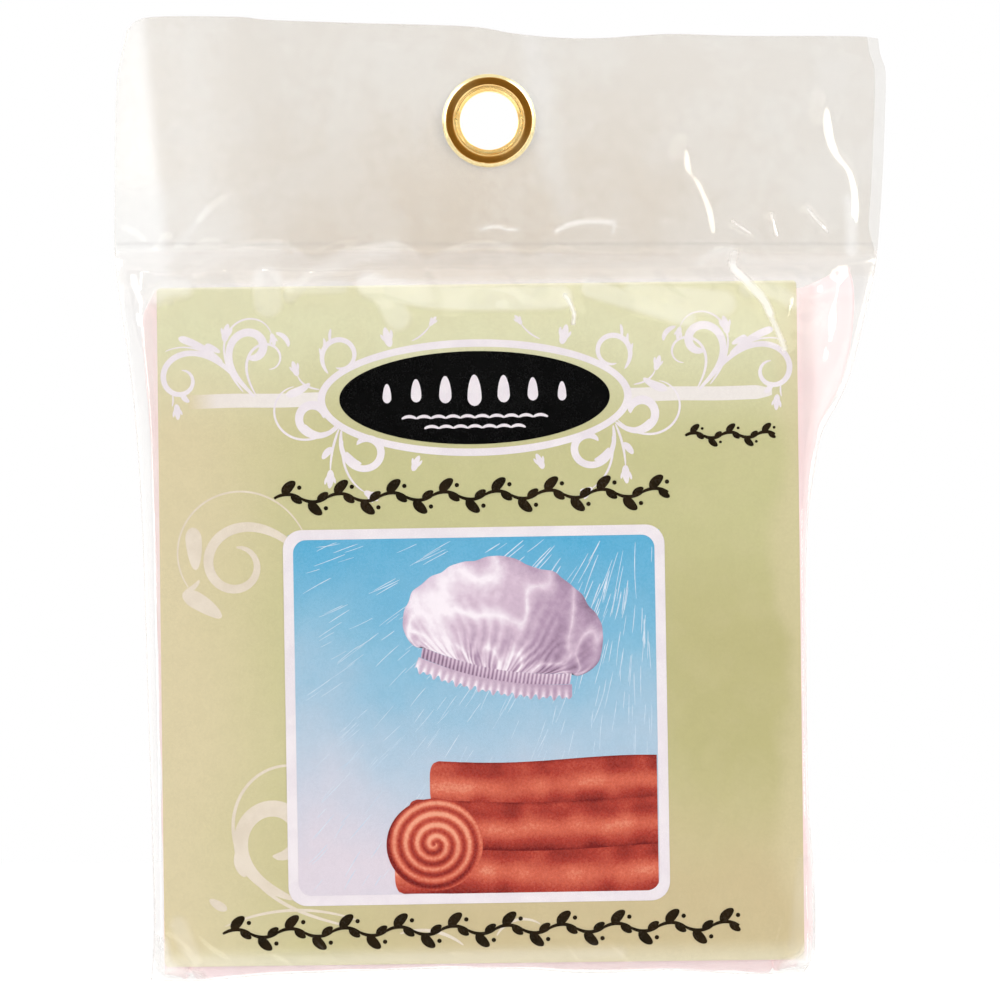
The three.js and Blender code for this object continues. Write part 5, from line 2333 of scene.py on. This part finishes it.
@dataclass
class FoldedCap:
    """The cap as packed: a vinyl disc, book-folded into plies, then folded in half upwards.

    Sizes are millimetres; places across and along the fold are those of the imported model.
    """

    pouch: Pouch
    disc: float = 530.0
    plies: int = 3
    ply: float = 0.6
    gap: float = 0.35
    inner_gap: float = 0.3
    skin: float = 0.09
    puff: float = 0.08
    hem_radius: float = 1.05
    hem_ring: float = 53.0
    skirt: float = 3.4
    gathers: int = 104
    elastic: float = 0.5
    ply_widths: tuple[float, ...] = (1.0, 0.985, 0.99)
    right_reach: Line = (
        (-27, 7.5), (-31, 11.0), (-38, 11.2), (-46, 8.8), (-52, 5.6), (-58, 3.1), (-64, 1.8),
        (-72, 1.4), (-86, 1.1), (-120, 1.4), (-134, 2.3), (-147, 2.6), (-151, 1.7),
    )
    left_reach: Line = (
        (-30, 2.6), (-36, 4.6), (-44, 4.2), (-52, 3.5), (-58, 3.0), (-76, 2.3), (-104, 1.5),
        (-130, 0.8), (-150, 0.5),
    )
    shoulder_rise: float = 4.2
    foot_room: float = 0.3
    crown_face: float = field(init=False)
    middle: float = field(init=False)
    half: float = field(init=False)
    top: float = field(init=False)
    fold: float = field(init=False)
    hem_level: float = field(init=False)

    def __post_init__(self) -> None:
        """Reads the folded cap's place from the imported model."""
        stack = self.plies * self.ply + (self.plies - 1) * self.gap
        self.crown_face = self.inner_gap + stack - self.skin / 2
        low, high = node_box("cap_crown")
        self.middle = float((low[0] + high[0]) / 2)
        self.half = float((high[0] - low[0]) / 2)
        self.top = float(high[2])
        hem_low, hem_high = node_box("cap_elastic")
        self.hem_level = float((hem_high[1] - hem_low[1]) / 2 - 0.55)
        self.fold = float(hem_low[2]) + self.hem_level + 0.55

    def folded(self, across: Array, run: Array, level: Array) -> Array:
        """Carries places of the flat stack round the fold at its foot.

        Args:
            across: places across the pouch.
            run: places along the stack from the fold's foot, negative in front.
            level: how far from the fold's middle they lie.

        Returns:
            Their points.
        """
        bend = self.hem_level * np.pi / 2
        angle = np.pi / 2 * np.clip(run / bend, -1, 1)
        up = np.maximum(np.abs(run) - bend, 0)
        points = (across, level * np.sin(angle), self.fold - level * np.cos(angle) + up)
        return np.stack(np.broadcast_arrays(*points), -1)

    def sag(self, across: Array, run: Array, level: float) -> Array:
        """Gives how far the outside hangs down at the foot, to fill the pouch there.

        Args:
            across: places across the cap, from its middle.
            run: places along the stack from the fold's foot.
            level: how far from the fold's middle the outside lies otherwise.

        Returns:
            How much further out it lies.
        """
        foot = reading(self.pouch.foot_edge)(self.middle + across)
        room = np.maximum(self.fold - foot - self.foot_room - level, 0)
        return room * np.exp(-0.5 * (run / 2.4) ** 2)

    def ply_section(self) -> tuple[Array, Array, Array]:
        """Draws the flattened, book-folded sleeve across the pouch.

        Returns:
            Place across and level of each point of the closed line, and the number of the
            ply that it is on.
        """
        half = self.ply / 2 - self.skin / 2
        pitch = self.ply + self.gap
        near, far = [], []
        for number in range(self.plies):
            level = self.inner_gap + self.ply / 2 + pitch * (self.plies - 1 - number)
            way = 1 if number % 2 == 0 else -1
            reach = self.half * self.ply_widths[number] - pitch / 2 - self.ply / 2
            for share in np.linspace(-1, 1, 64):
                near.append((way * reach * share, level - way * half, number))
                far.append((way * reach * share, level + way * half, number))
            if number == self.plies - 1:
                continue
            for turn in np.linspace(0, np.pi, 9)[1:-1]:
                out, down = way * math.sin(turn), math.cos(turn)
                middle = level - pitch / 2
                close = pitch / 2 - way * half
                wide = pitch / 2 + way * half
                near.append((way * reach + out * close, middle + down * close, number))
                far.append((way * reach + out * wide, middle + down * wide, number))
        line = np.array([*near, *far[::-1]])
        return line[:, 0], line[:, 1], line[:, 2]

    def crown(self) -> Object:
        """Builds the crown: the sleeve carried down the front, round the foot and up the back.

        Returns:
            The folded crown.
        """
        across, level, number = self.ply_section()
        bend = self.hem_level * np.pi / 2
        length = bend + self.top - self.fold
        leg = np.linspace(bend, length, 92)
        run = np.concatenate([-leg[::-1], np.linspace(-bend, bend, 25)[1:-1], leg])[:, None]
        noise = SoftNoise(131)
        swell = np.cos(np.pi / 2 * np.clip(across / self.half, -1, 1))
        swell = swell * np.sin(np.pi * np.abs(run) / length)
        lifted = level * (1 + self.puff * swell)
        shared = 0.1 * noise.at(across, run + 300, 16.0, 30.0) * swell
        own = 0.07 * noise.at(across + 37 * number, run + 91 * number, 6.0, 15.0)
        outer = (number == 0) * (level > self.crown_face - self.ply / 2)
        centre = np.hypot(across, run)
        clear = ease((centre - self.hem_ring - self.skirt - 1.5) / 6.0)
        turned = np.arctan2(run, across)
        pleats = np.cos(turned * 62 + 1.4 * noise.at(turned * 9, centre, 1.0, 20.0))
        fan = (0.5 + 0.5 * pleats) * np.exp(-(centre - self.hem_ring) / 15.0)
        away = ease((self.half - np.abs(across)) / 9.0) * ease((length - np.abs(run)) / 8.0)
        waves = noise.creases(across + 0.35 * run, run, 9.0, 26.0)
        waves = waves + 0.6 * noise.creases(across - 0.5 * run, run + 50, 5.0, 17.0)
        billow = clear * away * (0.85 * fan + 0.75 * waves)
        lifted = lifted + shared + own + outer * billow
        frayed = 0.25 * noise.at(run + 40 * number, number * 7 + 0 * run, 7.0)
        side = np.where(np.abs(across) > self.half * 0.9, frayed, 0)
        height = self.fold - bend + np.abs(run)
        right_reach = reading(self.right_reach)(height)
        left_reach = -reading(self.left_reach)(height)
        ragged = 0.9 + 0.2 * noise.at(run, number * 11 + 0 * run, 9.0)
        spare = 0.15 + 1.2 * ease((height + 62) / 10)
        room = reading(self.pouch.right_edge)(height) - self.middle - self.half - spare
        most = np.maximum(room, right_reach * (height < -62))
        right_reach = np.minimum(ragged * right_reach, most)
        side = 0.6 * side + right_reach * ease((across / self.half - 0.82) / 0.18)
        side = side + ragged * left_reach * ease((-across / self.half - 0.86) / 0.14)
        inside = ease((self.hem_ring - 0.2 - np.abs(across)) / 1.6)
        under_hem = self.sag(across, run, self.hem_level + self.hem_radius)
        droop = under_hem + inside * (self.sag(across, run, self.crown_face) - under_hem)
        lifted = lifted + outer * droop * (0.93 + 0.07 * noise.at(across, 0 * run + 12, 5.0))
        shoulder = ease((across / self.half - 0.9) / 0.1) * ease(1 - (length - np.abs(run)) / 12.0)
        reached = run + np.sign(run) * self.shoulder_rise * shoulder
        points = self.folded(self.middle + across + side, reached, lifted)
        rows, columns = points.shape[:2]
        quads = grid_quads(rows, columns, closed=True)
        flat = points.reshape(-1, 3)
        sleeve, faces = shell(flat, quads, self.skin)
        made = piece("cap_crown_folded", sleeve, faces, VINYL, 80.0)
        # Painted shade: pinker in the folds, at the sides and round the fold at the foot, paler on
        # the billowed crests.
        fold_shade = 0.35 - 0.5 * (outer * billow) + 0.2 * noise.at(across, run, 8.0) + 0 * run
        fold_shade = np.clip(fold_shade, 0, 1)
        fold_shade = np.where(across > self.half * 0.93, 0.45, fold_shade)
        fold_shade = np.where(across < self.half * -0.93, 0.15, fold_shade)
        fold_shade = fold_shade + (0.65 - fold_shade) * np.exp(-0.5 * (run / 4.0) ** 2)
        mark(made, "fold", np.tile(fold_shade.reshape(-1), 2))
        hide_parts("cap_crown")
        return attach(made, "pouch")

    def hem(self) -> Object:
        """Builds the hem: the disc's edge turned over the elastic and gathered into a ruffle.

        Returns:
            The folded ring of the hem.
        """
        steps = self.gathers * 9
        angle = np.linspace(0, 2 * np.pi, steps, endpoint=False)[:, None]
        turn = np.radians(np.linspace(70, 290, 13))
        tube = self.hem_radius - 0.12
        out = np.linspace(1, 0, 7)[:-1]
        flare = 0.4 + (self.skirt - 0.4) * out
        outward = np.concatenate([flare, tube * np.cos(turn), flare[::-1]])
        lap = 0.2 + 0.55 * (1 - out) ** 2
        level = np.concatenate([lap, tube * np.sin(turn), -lap[::-1]])
        noise = SoftNoise(177)
        draw = noise.at(angle * 12, 0 * angle, 1.0) * 0.8
        wave = angle * self.gathers + draw * 2.2
        share = np.clip(outward, 0, None) / self.skirt
        strength = 0.75 + 0.5 * noise.at(angle * 31, 0 * angle + 3, 1.0)
        lift = 0.52 * strength * share * np.sin(wave)
        pinch = 1 - 0.13 * (0.5 + 0.5 * np.cos(wave)) * (share < 0.3)
        reach = outward * (1 + 0.07 * share * np.cos(wave * 0.5 + 1))
        radius = self.hem_ring + reach * pinch
        across = self.middle + radius * np.cos(angle)
        run = radius * np.sin(angle)
        hang = self.sag(radius * np.cos(angle), run, self.hem_level + self.hem_radius)
        points = self.folded(across, run, self.hem_level + level * pinch + lift + hang)
        rows, columns = points.shape[:2]
        quads = grid_quads(rows + 1, columns) % (rows * columns)
        flat = points.reshape(-1, 3)
        out_way = point_normals(flat, quads)
        inmost = columns // 2
        if out_way[inmost][0] > 0:
            quads = quads[:, ::-1]
        ring, faces = shell(flat, quads, 0.1)
        made = piece("cap_hem_gathered", ring, faces, HEM_VINYL, 80.0)
        # Painted shade: pinker in the dips of the gathers, paler on their crests.
        fold_shade = np.clip(0.55 - 0.45 * np.sin(wave) * share - 0.2 * share, 0, 1)
        mark(made, "fold", np.tile(fold_shade.reshape(-1), 2))
        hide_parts("cap_hem")
        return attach(made, "pouch")

    def cord(self) -> Object:
        """Builds the covered elastic in the hem, with its wrapped ribs.

        Returns:
            The folded ring of elastic.
        """
        steps, sides = 1100, 12
        angle = np.linspace(0, 2 * np.pi, steps, endpoint=False)[:, None]
        turn = np.linspace(0, 2 * np.pi, sides, endpoint=False)
        rib = self.elastic * (1 + 0.1 * np.cos(3 * turn + angle * 240))
        radius = self.hem_ring + rib * np.cos(turn)
        run = radius * np.sin(angle)
        hang = self.sag(radius * np.cos(angle), run, self.hem_level + self.hem_radius)
        level = self.hem_level + rib * np.sin(turn) + hang
        points = self.folded(self.middle + radius * np.cos(angle), run, level)
        flat = points.reshape(-1, 3)
        quads = grid_quads(steps + 1, sides, closed=True) % (steps * sides)
        made = piece("elastic_cord", flat, quads[:, ::-1], ELASTIC, 80.0)
        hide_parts("cap_elastic")
        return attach(made, "pouch")

    def build(self) -> list[Object]:
        """Builds the cap's three pieces.

        Returns:
            The crown, the hem and the elastic.
        """
        crown, hem, cord = self.crown(), self.hem(), self.cord()
        return [crown, hem, cord]


# The studio


@dataclass(frozen=True)
class Softbox:
    """A soft light: where it stands as angles from the camera's side, and its size in metres."""

    name: str
    azimuth: float
    elevation: float
    distance: float
    width: float
    height: float
    radiance: float


@dataclass
class Studio:
    """The camera, the lights, the pale floor and the white surroundings."""

    distance: float = 1.4
    sensor: float = 36.0
    floor_drop: float = 0.1
    floor_half: float = 2600.0
    fill: float = 0.19
    gloss_front: float = 0.035
    gloss_behind: float = 1.3
    lights: tuple[Softbox, ...] = (
        Softbox("left_softbox", -44, 6, 1.2, 0.25, 0.64, 10.0),
        Softbox("right_softbox", 44, 16, 1.2, 0.28, 0.94, 10.0),
        Softbox("upper_left_softbox", -33, 38, 1.2, 0.27, 0.27, 8.5),
        Softbox("top_softbox", 0, 25, 1.2, 1.3, 0.5, 1.0),
        Softbox("rear_left_softbox", -140, 22, 1.3, 0.5, 0.8, 4.0),
        Softbox("rear_right_softbox", 146, 26, 1.3, 0.5, 0.8, 4.0),
    )

    def aim(self) -> Vector:
        """Gives the place that the photograph's middle looks at."""
        x, z = from_photo(MIDDLE_PIXEL)
        return Vector((x, 0, z)) * MM

    def camera(self) -> Object:
        """Places the camera square on, so that the photograph's frame is filled alike.

        Returns:
            The scene's camera.
        """
        data = bpy.data.cameras.new("photo_camera")
        width = 2 * MIDDLE_PIXEL[0] / PIXELS_PER_MM * MM
        data.sensor_width = self.sensor
        data.lens = self.sensor * self.distance / width
        data.clip_start, data.clip_end = 0.05, 50
        made = bpy.data.objects.new("photo_camera", data)
        made.location = self.aim() + Vector((0, -self.distance - 0.003, 0))
        made.rotation_euler = (math.pi / 2, 0, 0)
        bpy.context.scene.collection.objects.link(made)
        bpy.context.scene.camera = made
        return made

    def light(self, box: Softbox) -> Object:
        """Hangs one soft light.

        Args:
            box: the light.

        Returns:
            Its object.
        """
        data = bpy.data.lights.new(box.name, "AREA")
        data.shape = "RECTANGLE"
        data.size, data.size_y = box.width, box.height
        data.energy = box.radiance * math.pi * box.width * box.height
        made = bpy.data.objects.new(box.name, data)
        around, above = math.radians(box.azimuth), math.radians(box.elevation)
        flat = math.cos(above)
        way = Vector((math.sin(around) * flat, -math.cos(around) * flat, math.sin(above)))
        made.location = self.aim() + way * box.distance
        made.rotation_euler = way.to_track_quat("Z", "Y").to_euler()
        bpy.context.scene.collection.objects.link(made)
        return made

    def surroundings(self) -> None:
        """Makes the world white to the camera, and behind the pack to gloss; dim elsewhere."""
        world = bpy.data.worlds.new("studio")
        world.use_nodes = True
        world.node_tree.nodes.clear()
        bench = Bench(world.node_tree)
        ray = bench.add("ShaderNodeLightPath").outputs
        way = bench.add("ShaderNodeTexCoord").outputs["Generated"]
        depth = bench.add("ShaderNodeSeparateXYZ", {0: way}).outputs[1]
        gloss = bench.spread(depth, -0.55, 0.05, self.gloss_front, self.gloss_behind)
        seen = bench.maths("MAXIMUM", ray["Is Glossy Ray"], ray["Is Transmission Ray"])
        level = bench.add("ShaderNodeMix", {0: seen, 2: self.fill, 3: gloss}).outputs[0]
        level = bench.add("ShaderNodeMix", {0: ray["Is Camera Ray"], 2: level, 3: 1.0}).outputs[0]
        surface = bench.add("ShaderNodeBackground", {"Color": (1, 1, 1, 1), "Strength": level})
        bench.add("ShaderNodeOutputWorld", {"Surface": surface.outputs[0]})
        bpy.context.scene.world = world

    def floor(self) -> Object:
        """Lays the pale floor under the hanging pack.

        Returns:
            The floor, which is a stage piece.
        """
        low = (CAD_BOX[0][2] - self.floor_drop) / MM
        half = self.floor_half
        ring = ((-half, -half), (half, -half), (half, half), (-half, half))
        corners = np.array([(x, y, low) for x, y in ring])
        made = piece("floor", corners, np.array([[0, 1, 2, 3]]), StudioPaper("studio paper"))
        return made

    def build(self) -> list[Object]:
        """Sets up the studio.

        Returns:
            The camera, the floor and the lights.
        """
        bpy.context.scene.view_settings.view_transform = "Standard"
        self.surroundings()
        return [self.camera(), self.floor(), *(self.light(box) for box in self.lights)]


def main() -> None:
    """Builds the studio and every sub-assembly in order, and reports each piece."""
    logging.basicConfig(level=logging.INFO, format="%(name)s: %(message)s")
    pouch = Pouch()
    for assembly in (Studio(), pouch, Eyelet(), CardPrint(pouch), FoldedCap(pouch)):
        for made in assembly.build():
            log.info("%s: %s", type(assembly).__name__, made.name)


if __name__ == "__main__":
    main()
